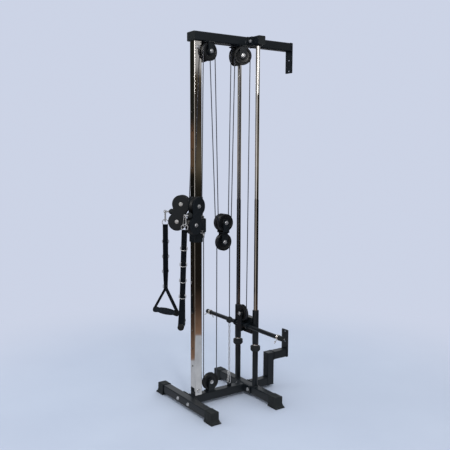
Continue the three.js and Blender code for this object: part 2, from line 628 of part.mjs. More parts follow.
// ---------------------------------------------------------------- weight carriage
function carriage() {
  const { low, sleeveLow, sleeveHigh, sleeveRadius, y } = CARRIAGE;
  const sleeves = [-ROD_X, ROD_X].flatMap((x) => [
    ringAround(x, REAR_Y, sleeveLow - 1, sleeveHigh, sleeveRadius, BORE),
    ringAround(x, REAR_Y, low, sleeveLow, sleeveRadius - 2, BORE)]);
  const box = CROSS_BOX;
  const cross = cut(block([-box.half, box.half], [box.front, box.back], [box.low, box.high]),
    ...[-ROD_X, ROD_X].map((x) => bar(at(x, REAR_Y, 300), at(x, REAR_Y, 600), BORE, 14)));
  const bracketLow = CARRIAGE_BRACKET_LOW;
  const bracket = strips(bracketLow - CARRIAGE_PULLEY_Z, PULLEY.half + 2)
    .rotate(0, 0, -90).translate(0, y, CARRIAGE_PULLEY_Z);
  const web = block([-STRIP_WIDTH / 2, STRIP_WIDTH / 2], [BAR_LUG.front, box.front + 1],
    [bracketLow, bracketLow + PLATE]);
  const { z, radius } = LOADING_BAR;
  const lugs = [-BAR_LUG.x, BAR_LUG.x].map((x) => cut(
    block([x - BAR_LUG.half, x + BAR_LUG.half], [BAR_LUG.front, box.front + 1],
      [z - BAR_LUG.rise, z + BAR_LUG.rise]),
    bar(at(x - 2 * BAR_LUG.half, y, z), at(x + 2 * BAR_LUG.half, y, z), radius + 0.5, 14)));
  return join(...sleeves, cross, bracket, web, ...lugs);
}

function loadingBar() {
  const { radius, z, half, end, capRadius } = LOADING_BAR;
  const ends = [-1, 1].map((side) => bar(
    at(side * (half - 8), CARRIAGE.y, z), at(side * end, CARRIAGE.y, z), capRadius, 14));
  return join(bar(at(-half, CARRIAGE.y, z), at(half, CARRIAGE.y, z), radius, 14), ...ends);
}

function springCollar(side) {
  const { x, half, radius, wire, drop } = COLLAR;
  const z = LOADING_BAR.z;
  const y = CARRIAGE.y;
  const ring = cut(bar(at(-half, y, z), at(half, y, z), radius, 14),
    bar(at(-half - 1, y, z), at(half + 1, y, z), LOADING_BAR.radius + 0.5, 14));
  const wires = [-1, 1].map((end) => bar(
    at(end * (half - wire), y, z - radius + wire),
    at(end * (half + wire), y, z - radius - drop), wire, 8));
  return join(ring, ...wires).translate(side * x, 0, 0);
}

piece('carriage_frame', 'powder', carriage());
pulley('carriage_pulley', 0, CARRIAGE.y, CARRIAGE_PULLEY_Z, 90);
piece('loading_bar', 'powder', loadingBar());
piece('spring_collar_left', 'chrome', springCollar(-1));
piece('spring_collar_right', 'chrome', springCollar(1));

// ---------------------------------------------------------------- cables
// A route of straight runs between points, where each step of the extrusion lands on a point.
class Route extends THREE.Curve {
  constructor(points) {
    super();
    this.points = points;
  }

  getPoint(t, target = new THREE.Vector3()) {
    const last = this.points.length - 1;
    const place = THREE.MathUtils.clamp(t, 0, 1) * last;
    const i = Math.min(Math.floor(place + 1e-9), last - 1);
    return target.lerpVectors(this.points[i], this.points[i + 1], place - i);
  }

  getPointAt(u, target) {
    return this.getPoint(u, target);
  }

  getTangentAt(u, target = new THREE.Vector3()) {
    const last = this.points.length - 1;
    const i = Math.round(u * last);
    const before = this.points[Math.max(i - 1, 0)];
    const after = this.points[Math.min(i + 1, last)];
    const here = this.points[i];
    const incoming = here.clone().sub(before).normalize();
    const outgoing = after.clone().sub(here).normalize();
    return target.copy(incoming).add(outgoing).normalize();
  }
}

function cable(points) {
  const section = new THREE.Shape();
  section.absarc(0, 0, CABLE_RADIUS, 0, 2 * Math.PI);
  return solid(new THREE.ExtrudeGeometry(section, {
    steps: points.length - 1, extrudePath: new Route(points), curveSegments: 4,
    bevelEnabled: false }));
}

// Points on a pulley's pitch circle, in the plane of a horizontal direction and +Z.
function wrap(centre, direction, from, to) {
  const steps = Math.round(Math.abs(to - from) / 20);
  return Array.from({ length: steps + 1 }, (_, i) => {
    const angle = radians(from + (to - from) * i / steps);
    return centre.clone()
      .addScaledVector(direction, PULLEY.pitch * Math.cos(angle))
      .addScaledVector(Z, PULLEY.pitch * Math.sin(angle));
  });
}

const heading = (degrees) => Y.clone().applyAxisAngle(Z, radians(degrees));

// Half of the main cable: handle, head, front top pulley, floating block, rear top pulley.
function mainCableHalf(side, yaw) {
  const forward = heading(-yaw).negate();
  const axis = at(side * SWIVEL.x, SWIVEL.y, 0);
  const head = axis.clone().addScaledVector(forward, HEAD.upper.reach).setZ(HEAD.upper.z);
  const start = axis.clone().addScaledVector(forward, BALL.reach - BALL.radius - GAP)
    .setZ(CABLE_EXIT_Z);
  const top = ({ x, y, z, toe }) => [at(side * x, y, z), heading(side * toe)];
  return [start,
    ...wrap(head, forward, 270, 180),
    ...wrap(...top(FRONT_PULLEY), 180, 0),
    ...wrap(at(side * BLOCK.upperX, BLOCK.y, BLOCK.upperZ), Y, -180, 0),
    ...wrap(...top(REAR_PULLEY), 180, 0)];
}

// One cable from handle to handle, under the carriage's pulley.
piece('main_cable', 'cable', cable([
  ...mainCableHalf(-1, YAW.left),
  ...wrap(at(0, CARRIAGE.y, CARRIAGE_PULLEY_Z), X, 180, 360),
  ...mainCableHalf(1, YAW.right).reverse()]));

piece('lower_cable', 'cable', cable([
  at(0, CABLE_EYE.y, CABLE_EYE.low - GAP),
  ...wrap(at(0, BASE_PULLEY.y, BASE_PULLEY.z), Y, 180, 360),
  ...wrap(at(0, BLOCK.y, BLOCK.lowerZ), Y, 180, 0),
  at(0, BLOCK.y + PULLEY.pitch, CHAIN.ballZ + CHAIN.ballRadius + GAP)]));

// ---------------------------------------------------------------- the lower cable's anchor
piece('lower_stop_ball', 'rubber', sphere(CHAIN.ballRadius, 0, CHAIN.y, CHAIN.ballZ));
piece('chain', 'zinc', bar(at(0, CHAIN.y, CHAIN.low + GAP),
  at(0, CHAIN.y, CHAIN.ballZ - CHAIN.ballRadius - GAP), CHAIN.radius, 8));
piece('snap_hook', 'zinc',
  yawed(link(SNAP_HOOK), 90).translate(0, CHAIN.y, CHAIN.low - SNAP_HOOK.height / 2));

// ---------------------------------------------------------------- origin
// The origin is the middle of the footprint of the whole machine, on the floor.
machine.updateMatrixWorld(true);
const extent = new THREE.Box3().setFromObject(machine, true);
machine.position.set(
  -(extent.min.x + extent.max.x) / 2, -(extent.min.y + extent.max.y) / 2, -extent.min.z);

export default machine;
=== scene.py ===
"""Looks of a wall-braced cable station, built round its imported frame. Shapes are drawn in millimetres."""
import json
import math

import bmesh
import bpy
from mathutils import Matrix, Quaternion, Vector
from mathutils.geometry import tessellate_polygon

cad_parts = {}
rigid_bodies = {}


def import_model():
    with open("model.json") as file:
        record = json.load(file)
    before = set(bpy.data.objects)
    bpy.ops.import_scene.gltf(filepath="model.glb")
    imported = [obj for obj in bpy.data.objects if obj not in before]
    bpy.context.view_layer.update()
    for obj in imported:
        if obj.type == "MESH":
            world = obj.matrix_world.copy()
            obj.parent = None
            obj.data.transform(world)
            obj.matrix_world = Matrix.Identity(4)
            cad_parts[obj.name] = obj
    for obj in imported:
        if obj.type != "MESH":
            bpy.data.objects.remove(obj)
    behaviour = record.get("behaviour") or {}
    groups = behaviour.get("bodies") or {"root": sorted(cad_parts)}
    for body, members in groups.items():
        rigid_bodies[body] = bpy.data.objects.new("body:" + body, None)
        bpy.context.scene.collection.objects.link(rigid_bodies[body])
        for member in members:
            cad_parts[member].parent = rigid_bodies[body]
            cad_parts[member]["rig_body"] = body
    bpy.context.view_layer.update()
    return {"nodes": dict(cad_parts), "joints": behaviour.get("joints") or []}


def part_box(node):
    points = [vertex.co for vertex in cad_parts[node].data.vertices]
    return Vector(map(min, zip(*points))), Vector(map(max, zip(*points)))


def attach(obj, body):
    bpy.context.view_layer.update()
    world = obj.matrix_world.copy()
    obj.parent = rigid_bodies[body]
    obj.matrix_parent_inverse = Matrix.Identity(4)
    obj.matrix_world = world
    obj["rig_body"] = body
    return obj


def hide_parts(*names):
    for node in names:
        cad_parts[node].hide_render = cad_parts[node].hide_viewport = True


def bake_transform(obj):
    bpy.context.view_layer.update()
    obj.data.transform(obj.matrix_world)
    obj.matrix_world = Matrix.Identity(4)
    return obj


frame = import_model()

MM = 0.001
X, Y, Z = Vector((1, 0, 0)), Vector((0, 1, 0)), Vector((0, 0, 1))
SIDES = (("left", -1), ("right", 1))
JOINTS = {joint["name"]: joint for joint in frame["joints"]}


# ------------------------------------------------------------------ what the frame says
def box(node):
    """Lowest and highest corner of a CAD node, in millimetres."""
    low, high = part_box(node)
    return low / MM, high / MM


def middle(node):
    low, high = box(node)
    return (low + high) / 2


def pivot(joint):
    """A joint's place in millimetres and its axis."""
    found = JOINTS[joint]
    return Vector(found["pos_m"]) / MM, Vector(found["axis"]).normalized()


COLUMN = middle("upright").xy  # the column's centre line
ROD_Y = middle("guide_rod_left").y
TUBE = box("upright")[1].x - box("upright")[0].x
TOP = box("top_beam")[1].z
FLOOR_GAP = box("front_foot")[0].z
BASE_TOP = box("front_foot")[1].z
BEAM_LOW = TOP - TUBE
BASE_MID = (FLOOR_GAP + BASE_TOP) / 2
BEAM_MID = TOP - TUBE / 2
PITCH = 46  # radius of the cable's centre line on a pulley
CABLE = 2.8  # cable radius
PULLEY_HALF = 12
FLANGE_BOLT_X = 57
PLATE = 6  # thickness of flanges and wall plates
STRIP_INSIDE = PULLEY_HALF + 1.5  # a pulley's plane to the inside of its bracket
AXLE_REACH = PULLEY_HALF + 6.5  # a pulley's plane to the outside of its bracket
CABLE_EYE = Vector((0, COLUMN.y + 51, 992))  # where the lower cable ends behind the trolley


# ------------------------------------------------------------------ camera, floor and light
CAMERA = {"azimuth": 55.4, "pitch": -6.6, "roll": 0.2, "lens": 51.63, "sensor": 36, "reach": 60}
CAMERA_FROM_COLUMN = (3126.6, -1955.0)
CAMERA_HEIGHT = 1497.3


def camera():
    azimuth, pitch = math.radians(CAMERA["azimuth"]), math.radians(CAMERA["pitch"])
    data = bpy.data.cameras.new("camera")
    data.lens, data.sensor_width = CAMERA["lens"], CAMERA["sensor"]
    data.clip_end = CAMERA["reach"]
    cam = bpy.data.objects.new("camera", data)
    bpy.context.scene.collection.objects.link(cam)
    forward = Vector((-math.sin(azimuth) * math.cos(pitch),
                      math.cos(azimuth) * math.cos(pitch), math.sin(pitch)))
    away_x, away_y = CAMERA_FROM_COLUMN
    cam.location = Vector((COLUMN.x + away_x, COLUMN.y + away_y, CAMERA_HEIGHT)) * MM
    cam.rotation_mode = "QUATERNION"
    roll = Quaternion((0, 0, 1), math.radians(CAMERA["roll"]))
    cam.rotation_quaternion = forward.to_track_quat("-Z", "Y") @ roll
    bpy.context.scene.camera = cam


# ------------------------------------------------------------------ shader nodes
def new_tree(owner):
    owner.use_nodes = True
    tree = owner.node_tree
    tree.nodes.clear()
    return tree


def node(tree, kind, inputs=None, **settings):
    """A shader node with its settings, and its sockets set to numbers or linked to other sockets."""
    made = tree.nodes.new(f"ShaderNode{kind}")
    for name, value in settings.items():
        setattr(made, name, value)
    for key, value in (inputs or {}).items():
        if isinstance(value, bpy.types.NodeSocket):
            tree.links.new(value, made.inputs[key])
        else:
            made.inputs[key].default_value = value
    return made


def ramp(tree, factor, stops):
    made = node(tree, "ValToRGB", {"Fac": factor})
    elements = made.color_ramp.elements
    while len(elements) < len(stops):
        elements.new(0.5)
    for element, (place, color) in zip(elements, stops):
        element.position = place
        element.color = (*color, 1)
    return made.outputs["Color"]


def step(tree, factor, start, end):
    """Black up to start and white from end on."""
    return ramp(tree, factor, [(start, (0, 0, 0)), (end, (1, 1, 1))])


def mix_color(tree, factor, a, b):
    made = node(tree, "Mix", data_type="RGBA")
    for socket, value in ((made.inputs[0], factor), (made.inputs[6], a), (made.inputs[7], b)):
        if isinstance(value, bpy.types.NodeSocket):
            tree.links.new(value, socket)
        else:
            socket.default_value = (*value, 1)
    return made.outputs[2]


def mix_shader(tree, share, a, b):
    return node(tree, "MixShader", {0: share, 1: a, 2: b}).outputs[0]


def math_node(tree, operation, *values):
    return node(tree, "Math", dict(enumerate(values)), operation=operation).outputs[0]


def vector_node(tree, operation, *values):
    return node(tree, "VectorMath", dict(enumerate(values)), operation=operation).outputs


def noise(tree, place, scale, detail):
    return node(tree, "TexNoise", {"Vector": place, "Scale": scale, "Detail": detail}).outputs["Fac"]


def bump(tree, height, distance, strength):
    return node(tree, "Bump", {"Height": height, "Distance": distance,
                               "Strength": strength}).outputs[0]


def material(name):
    """A new material, its empty tree and the place on the object that its textures follow."""
    made = bpy.data.materials.new(name)
    tree = new_tree(made)
    return made, tree, node(tree, "TexCoord").outputs["Object"]


def principled(made, inputs):
    shader = node(made.node_tree, "BsdfPrincipled", inputs)
    node(made.node_tree, "OutputMaterial", {"Surface": shader.outputs[0]})
    return made


# ------------------------------------------------------------------ floor, room and light
PALE = (0.605, 0.655, 0.790)  # the floor and the backdrop
CLOTH = (0.62, 0.64, 0.68)  # the pale backdrop as the chrome mirrors it
DOORWAY = (0.45, -0.893, 0.0)  # where a bright opening stands beside the camera
UNEVEN = 0.008  # how far the bands in the mirrored room wander in height
# What the chrome mirrors by height, from straight down at 0 to straight up at 1.
FRONT_ROOM = [(0.0, (0.006, 0.005, 0.004)), (0.470, (0.006, 0.006, 0.005)),
              (0.480, (0.010, 0.009, 0.007)), (0.486, (0.13, 0.085, 0.050)),
              (0.512, (0.15, 0.085, 0.050)), (0.522, (0.020, 0.020, 0.016)),
              (0.60, (0.022, 0.024, 0.018)), (1.0, (0.02, 0.02, 0.02))]
SIDE_ROOM = [(0.0, (0.005, 0.005, 0.005)), (0.462, (0.010, 0.009, 0.007)),
             (0.473, (0.026, 0.023, 0.016)), (0.488, (0.110, 0.090, 0.062)),
             (0.505, (0.080, 0.065, 0.044)), (0.525, (0.040, 0.033, 0.024)),
             (0.543, (0.036, 0.030, 0.024)), (0.555, (0.105, 0.085, 0.058)),
             (0.562, (0.48, 0.47, 0.46))]
# What the chrome mirrors of the floor, by distance in tens of metres from the middle of the cloth.
FLOOR_MIRRORED = [(0.0, (0.40, 0.42, 0.46)), (0.114, (0.36, 0.38, 0.42)),
                  (0.118, (0.19, 0.115, 0.080)), (0.150, (0.13, 0.080, 0.055)),
                  (0.210, (0.045, 0.028, 0.020)), (0.30, (0.010, 0.008, 0.006)),
                  (1.0, (0.006, 0.006, 0.005))]
DOORWAY_EDGE = (0.88, 0.91)  # how squarely a direction meets the doorway where it starts to show


def world():
    """Pale to look at; a dim brown room with a pale backdrop in what the chrome mirrors."""
    made = bpy.data.worlds.new("studio")
    bpy.context.scene.world = made
    tree = new_tree(made)
    place = node(tree, "TexCoord").outputs["Generated"]
    parts = node(tree, "SeparateXYZ", {0: place}).outputs
    streaks = node(tree, "Mapping", {"Vector": place, "Scale": (9.0, 9.0, 0.6)}).outputs[0]
    height = math_node(tree, "MULTIPLY_ADD", parts["Z"], 0.5, 0.5 - 0.5 * UNEVEN)
    shifted = math_node(tree, "MULTIPLY_ADD", noise(tree, streaks, 1.6, 3.0), UNEVEN, height)
    across = step(tree, math_node(tree, "MULTIPLY_ADD", parts["X"], 0.5, 0.5), 0.35, 0.45)
    room = mix_color(tree, across, ramp(tree, shifted, FRONT_ROOM), ramp(tree, shifted, SIDE_ROOM))
    streaked = ramp(tree, noise(tree, streaks, 2.3, 2.0), [(0.35, (0.45, 0.45, 0.45)),
                                                           (0.65, (1, 1, 1))])
    streaky = node(tree, "Mix", {0: 1.0, 6: room, 7: streaked}, data_type="RGBA",
                   blend_type="MULTIPLY").outputs[2]
    # The backdrop hangs behind the machine.
    backdrop = vector_node(tree, "DOT_PRODUCT", place, (-0.823, 0.568, 0.0))["Value"]
    dressed = mix_color(tree, step(tree, backdrop, 0.46, 0.52), streaky, CLOTH)
    # A bright doorway beside the camera draws the light lines on corners and rods.
    doorway = vector_node(tree, "DOT_PRODUCT", place, DOORWAY)["Value"]
    seen = mix_color(tree, step(tree, doorway, *DOORWAY_EDGE), dressed, (0.60, 0.57, 0.54))
    glossy, diffuse, shown = (
        node(tree, "Background", {"Color": color, "Strength": strength}).outputs[0]
        for color, strength in ((seen, 1.0), ((0.82, 0.89, 1.0, 1), 0.80), ((*PALE, 1), 1.0)))
    ray = node(tree, "LightPath").outputs
    lighting = mix_shader(tree, ray["Is Glossy Ray"], diffuse, glossy)
    node(tree, "OutputWorld", {"Surface": mix_shader(tree, ray["Is Camera Ray"], lighting, shown)})


def floor_material():
    """Pale cloth that fades into the backdrop; its edge and the dim floor past it show in chrome."""
    made, tree, place = material("pale_floor")
    folds = noise(tree, place, 1.1, 4.0)
    pale = ramp(tree, folds, [(0.3, (0.46, 0.50, 0.585)), (0.7, (0.50, 0.54, 0.62))])
    cloth = node(tree, "BsdfPrincipled", {"Base Color": pale, "Roughness": 0.9,
                                          "Normal": bump(tree, folds, 0.03, 0.35)}).outputs[0]
    backdrop = node(tree, "Emission", {"Color": (*PALE, 1), "Strength": 1.0}).outputs[0]
    away = vector_node(tree, "LENGTH", place)["Value"]
    fade = node(tree, "MapRange", {"Value": away, "From Min": 0.9, "From Max": 2.6},
                interpolation_type="SMOOTHSTEP").outputs["Result"]
    shown = mix_shader(tree, fade, cloth, backdrop)
    edge = vector_node(tree, "DISTANCE", place, (0.27, -0.05, 0.0))["Value"]
    mirrored = ramp(tree, math_node(tree, "MULTIPLY", edge, 0.1), FLOOR_MIRRORED)
    towards = vector_node(tree, "NORMALIZE", place)[0]
    doorway = vector_node(tree, "DOT_PRODUCT", towards, DOORWAY)["Value"]
    past = math_node(tree, "MULTIPLY", step(tree, doorway, *DOORWAY_EDGE),
                     math_node(tree, "GREATER_THAN", edge, 1.2))
    mirrored = mix_color(tree, past, mirrored, (0.30, 0.27, 0.24))
    glossy = node(tree, "Emission", {"Color": mirrored, "Strength": 1.0}).outputs[0]
    is_glossy = node(tree, "LightPath").outputs["Is Glossy Ray"]
    node(tree, "OutputMaterial", {"Surface": mix_shader(tree, is_glossy, shown, glossy)})
    return made


def stage():
    settings = bpy.context.scene.view_settings
    settings.view_transform, settings.look = "Standard", "None"
    mesh = bpy.data.meshes.new("floor")
    reach, sides = 16.0, 96
    ring = [(reach * math.cos(2 * math.pi * i / sides), reach * math.sin(2 * math.pi * i / sides),
             -0.0004) for i in range(sides)]
    mesh.from_pydata(ring, [], [list(range(sides))])
    mesh.materials.append(floor_material())
    floor = bpy.data.objects.new("floor", mesh)
    bpy.context.scene.collection.objects.link(floor)


def area_light(name, place, aim, size, power, color=(1, 1, 1), mirrored=True):
    data = bpy.data.lights.new(name, "AREA")
    data.shape = "RECTANGLE"
    data.size, data.size_y = size
    data.energy, data.color = power, color
    lamp = bpy.data.objects.new(name, data)
    bpy.context.scene.collection.objects.link(lamp)
    lamp.location = place
    lamp.rotation_mode = "QUATERNION"
    lamp.rotation_quaternion = (Vector(aim) - Vector(place)).to_track_quat("-Z", "Y")
    lamp.visible_camera = False
    lamp.visible_glossy = mirrored


def lights():
    area_light("ceiling", (0.6, -0.8, 4.6), (0, 0, 0.8), (4.5, 4.5), 70, (0.93, 0.96, 1.0), False)
    area_light("key", (3.4, -1.3, 3.2), (0, 0, 1.0), (0.5, 2.4), 42, (1.0, 0.98, 0.95))
    area_light("fill", (-2.6, -3.4, 1.9), (0, 0, 1.0), (2.2, 2.2), 40, (0.9, 0.95, 1.0), False)
    area_light("back", (-2.0, 3.6, 2.8), (0, 0, 1.2), (2.6, 2.6), 45, (0.92, 0.96, 1.0), False)


# ------------------------------------------------------------------ materials
def surface(name, color, roughness, grain, metallic=0.0, patches=(6.0, 0.15), **sockets):
    """A surface with fine grain in its bump and broad patches in its colour and roughness.

    grain is (features per metre, depth in metres, strength); patches is (per metre, how much)."""
    made, tree, place = material(name)
    scale, amount = patches
    broad = noise(tree, place, scale, 4.0)
    low = tuple(c * (1 - amount) for c in color)
    high = tuple(min(1.0, c * (1 + amount)) for c in color)
    spread = node(tree, "MapRange", {
        "Value": broad, "From Min": 0.3, "From Max": 0.7,
        "To Min": roughness * (1 - amount), "To Max": roughness * (1 + amount)})
    fine, depth, strength = grain
    return principled(made, {
        "Base Color": ramp(tree, broad, [(0.3, low), (0.7, high)]),
        "Roughness": spread.outputs["Result"], "Metallic": metallic,
        "Normal": bump(tree, noise(tree, place, fine, 2.0), depth, strength), **sockets})


def webbing():
    """Woven nylon: ribs across the strap and a finer thread along it, drawn on its UVs in metres."""
    made, tree, _ = material("webbing")
    uv = node(tree, "TexCoord").outputs["UV"]
    parts = node(tree, "SeparateXYZ", {0: uv}).outputs
    thread = 2 * math.pi / 0.0016
    across = math_node(tree, "SINE", math_node(tree, "MULTIPLY", parts["X"], thread))
    along = math_node(tree, "SINE", math_node(tree, "MULTIPLY", parts["Y"], thread * 0.8))
    weave = math_node(tree, "MULTIPLY", across, along)
    level = math_node(tree, "MULTIPLY_ADD", weave, 0.5, 0.5)
    color = ramp(tree, level, [(0.2, (0.0008, 0.0018, 0.0034)), (0.9, (0.0035, 0.0060, 0.0100))])
    return principled(made, {
        "Base Color": color, "Roughness": 0.8, "Normal": bump(tree, level, 0.0005, 0.8),
        "Sheen Weight": 0.03, "Sheen Roughness": 0.4, "Specular IOR Level": 0.12})


def foam():
    made, tree, place = material("foam")
    cells = node(tree, "TexVoronoi", {"Vector": place, "Scale": 1100.0}).outputs["Distance"]
    color = ramp(tree, noise(tree, place, 30.0, 3.0),
                 [(0.3, (0.004, 0.0065, 0.010)), (0.7, (0.008, 0.0125, 0.018))])
    return principled(made, {
        "Base Color": color, "Roughness": 0.82, "Normal": bump(tree, cells, 0.0004, 0.6),
        "Specular IOR Level": 0.35})


def cable_material():
    """Nylon-coated steel cable: the lay of the strands shows as a slanting ripple."""
    made, tree, place = material("cable_grey")
    strands = node(tree, "TexWave", {"Vector": place, "Scale": 120.0, "Distortion": 0.4},
                   bands_direction="DIAGONAL").outputs["Fac"]
    color = ramp(tree, strands, [(0.0, (0.018, 0.020, 0.030)), (1.0, (0.045, 0.048, 0.062))])
    return principled(made, {
        "Base Color": color, "Roughness": 0.38, "Normal": bump(tree, strands, 0.0003, 0.5),
        "Coat Weight": 0.3})


MATERIALS = {
    "frame_black": surface("frame_black", (0.0060, 0.0088, 0.0115), 0.36,
                           grain=(750.0, 0.0003, 0.35), patches=(5.0, 0.18),
                           **{"Specular IOR Level": 0.38}),
    "chrome": surface("chrome", (0.86, 0.85, 0.84), 0.03, grain=(7.0, 0.0012, 0.08),
                      metallic=1.0, patches=(14.0, 0.10)),
    "rubber": surface("rubber", (0.008, 0.011, 0.012), 0.70, grain=(1500.0, 0.0003, 0.5),
                      patches=(25.0, 0.20)),
    "nylon": surface("nylon", (0.0032, 0.0042, 0.0055), 0.38, grain=(1900.0, 0.0002, 0.4),
                     patches=(40.0, 0.20)),
    "zinc": surface("zinc", (0.74, 0.75, 0.77), 0.36, grain=(900.0, 0.0001, 0.3),
                    metallic=0.9, patches=(60.0, 0.25)),
    "webbing": webbing(),
    "foam": foam(),
    "cable_grey": cable_material(),
    "thread": surface("thread", (0.007, 0.010, 0.014), 0.7, grain=(3000.0, 0.0002, 0.5)),
}


# ------------------------------------------------------------------ drawing
def arc(radius, start, end, steps, centre=(0, 0)):
    """Points on an arc; angles in degrees."""
    angles = [math.radians(start + (end - start) * i / steps) for i in range(steps + 1)]
    return [(centre[0] + radius * math.cos(a), centre[1] + radius * math.sin(a)) for a in angles]


def circle(radius, sides=32, centre=(0, 0)):
    return arc(radius, 0, 360, sides, centre)[:-1]


def rounded(width, height, radius, steps=8, centre=(0, 0)):
    x, y = width / 2 - radius, height / 2 - radius
    corners = ((x, y, 0), (-x, y, 90), (-x, -y, 180), (x, -y, 270))
    return [p for cx, cy, a in corners
            for p in arc(radius, a, a + 90, steps, (centre[0] + cx, centre[1] + cy))]


def stadium(length, half, steps=16):
    """From the origin's round end down to a square end at -length."""
    return arc(half, 0, 180, steps) + [(-half, -length), (half, -length)]


def facing(place, normal, up=Z):
    """A matrix that takes local +Z to normal and keeps local +Y as near to up as it can."""
    normal = Vector(normal).normalized()
    side = Vector(up).cross(normal)
    if side.length < 1e-6:
        side = X.copy()
    side.normalize()
    rows = Matrix((side, normal.cross(side), normal)).transposed()
    return Matrix.Translation(place) @ rows.to_4x4()


class Shape:
    """Vertices and faces of one piece, in millimetres."""

    def __init__(self):
        self.points, self.faces, self.uvs = [], [], {}

    def add(self, points, faces, place=None):
        base = len(self.points)
        move = place or Matrix.Identity(4)
        self.points += [move @ Vector(p) for p in points]
        self.faces += [[base + i for i in face] for face in faces]
        return self

    def prism(self, outline, low, high, place=None, holes=()):
        """An outline with holes, extruded along local Z."""
        rings = [list(outline), *map(list, holes)]
        flat = [p for ring in rings for p in ring]
        count = len(flat)
        points = [(x, y, z) for z in (low, high) for x, y in flat]
        if holes:
            caps = [list(t) for t in tessellate_polygon([[Vector((x, y, 0)) for x, y in ring]
                                                         for ring in rings])]
        else:
            caps = [list(range(count))]
        faces = [list(reversed(c)) for c in caps] + [[i + count for i in c] for c in caps]
        start = 0
        for ring in rings:
            size = len(ring)
            for i in range(size):
                a, b = start + i, start + (i + 1) % size
                faces.append([a, b, b + count, a + count])
            start += size
        return self.add(points, faces, place)

    def block(self, low, high, place=None):
        outline = [(low[0], low[1]), (high[0], low[1]), (high[0], high[1]), (low[0], high[1])]
        return self.prism(outline, low[2], high[2], place)

    def lathe(self, profile, place=None, sides=48, closed=False):
        """Turns a (radius, height) profile about local Z; open profiles start and end on it."""
        points, rows = [], []
        for radius, height in profile:
            if radius < 1e-6:
                rows.append([len(points)] * sides)
                points.append((0, 0, height))
                continue
            rows.append([len(points) + i for i in range(sides)])
            points += [(x, y, height) for x, y in circle(radius, sides)]
        pairs = list(zip(rows, rows[1:])) + ([(rows[-1], rows[0])] if closed else [])
        faces = []
        for low, high in pairs:
            for i in range(sides):
                j = (i + 1) % sides
                corners = [low[i], low[j], high[j], high[i]]
                face = [c for k, c in enumerate(corners) if c not in corners[:k]]
                if len(face) > 2:
                    faces.append(face)
        return self.add(points, faces, place)

    def sweep(self, path, radius, sides=14, closed=False, place=None):
        """A round wire along a path. radius may be a list with one value for each point."""
        path = [Vector(p) for p in path]
        count = len(path)
        radii = radius if isinstance(radius, list) else [radius] * count
        tangents = []
        for i, p in enumerate(path):
            before = path[i - 1] if i or closed else p
            after = path[(i + 1) % count] if i < count - 1 or closed else p
            tangents.append((after - before).normalized())
        normal = tangents[0].orthogonal().normalized()
        points, start = [], normal
        for i, (p, t) in enumerate(zip(path, tangents)):
            if i:
                turn = tangents[i - 1].rotation_difference(t)
                normal = (turn @ normal).normalized()
            side = t.cross(normal)
            points += [p + radii[i] * (math.cos(a) * normal + math.sin(a) * side)
                       for a in (2 * math.pi * k / sides for k in range(sides))]
        shift = 0
        if closed:
            back = tangents[-1].rotation_difference(tangents[0]) @ normal
            angle = math.atan2(back.dot(tangents[0].cross(start)), back.dot(start))
            shift = round(angle / (2 * math.pi) * sides)
        faces = []
        for i in range(count if closed else count - 1):
            move = shift if i == count - 1 else 0
            a, b = i * sides, ((i + 1) % count) * sides
            for k in range(sides):
                m = (k + 1) % sides
                faces.append([a + k, a + m, b + (m + move) % sides, b + (k + move) % sides])
        if not closed:
            faces.append(list(range(sides - 1, -1, -1)))
            faces.append([(count - 1) * sides + k for k in range(sides)])
        return self.add(points, faces, place)

    def build(self, name, look, body, bevel=0.0, smooth=32, replaces=(), segments=2):
        """Makes the piece, bevels its sharp edges, paints it and sets it on its body."""
        mesh = bpy.data.meshes.new(name)
        mesh.from_pydata([p * MM for p in self.points], [], self.faces)
        soften(mesh, bevel * MM, smooth, segments)
        obj = bpy.data.objects.new(name, mesh)
        bpy.context.scene.collection.objects.link(obj)
        mesh.materials.append(MATERIALS[look])
        if replaces:
            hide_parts(*replaces)
        if body:
            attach(obj, body)
        return obj


def soften(mesh, bevel, smooth, segments):
    """Joins a mesh's faces, points them out, rounds edges sharper than an angle, shades the rest."""
    bm = bmesh.new()
    bm.from_mesh(mesh)
    bmesh.ops.remove_doubles(bm, verts=bm.verts, dist=1e-7)
    bmesh.ops.recalc_face_normals(bm, faces=bm.faces)
    limit = math.radians(smooth)
    if bevel:
        edges = [e for e in bm.edges if e.is_manifold and e.calc_face_angle(0) > limit]
        bmesh.ops.bevel(bm, geom=edges, offset=bevel, offset_type="OFFSET", segments=segments,
                        profile=0.5, affect="EDGES", clamp_overlap=True)
    for face in bm.faces:
        face.smooth = True
    for edge in bm.edges:
        edge.smooth = not edge.is_manifold or edge.calc_face_angle(0) <= limit
    bm.to_mesh(mesh)
    bm.free()


def weighted(obj):
    """Keeps flat faces flat next to rounded edges."""
    modifier = obj.modifiers.new("weighted", "WEIGHTED_NORMAL")
    modifier.keep_sharp = True
    return obj


def softened(node_name, look, bevel=1.2, name=None, segments=3):
    """A CAD node with plain faces, rebuilt with its edges rounded."""
    mesh = frame["nodes"][node_name].data.copy()
    mesh.materials.clear()
    bm = bmesh.new()
    bm.from_mesh(mesh)
    bmesh.ops.remove_doubles(bm, verts=bm.verts, dist=1e-5)
    bmesh.ops.dissolve_limit(bm, angle_limit=math.radians(0.5), verts=bm.verts, edges=bm.edges)
    bm.to_mesh(mesh)
    bm.free()
    soften(mesh, bevel * MM, 18, segments)
    obj = bpy.data.objects.new(name or f"{node_name}_shell", mesh)
    bpy.context.scene.collection.objects.link(obj)
    mesh.materials.append(MATERIALS[look])
    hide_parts(node_name)
    body = frame["nodes"][node_name]["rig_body"]
    return weighted(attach(obj, body))


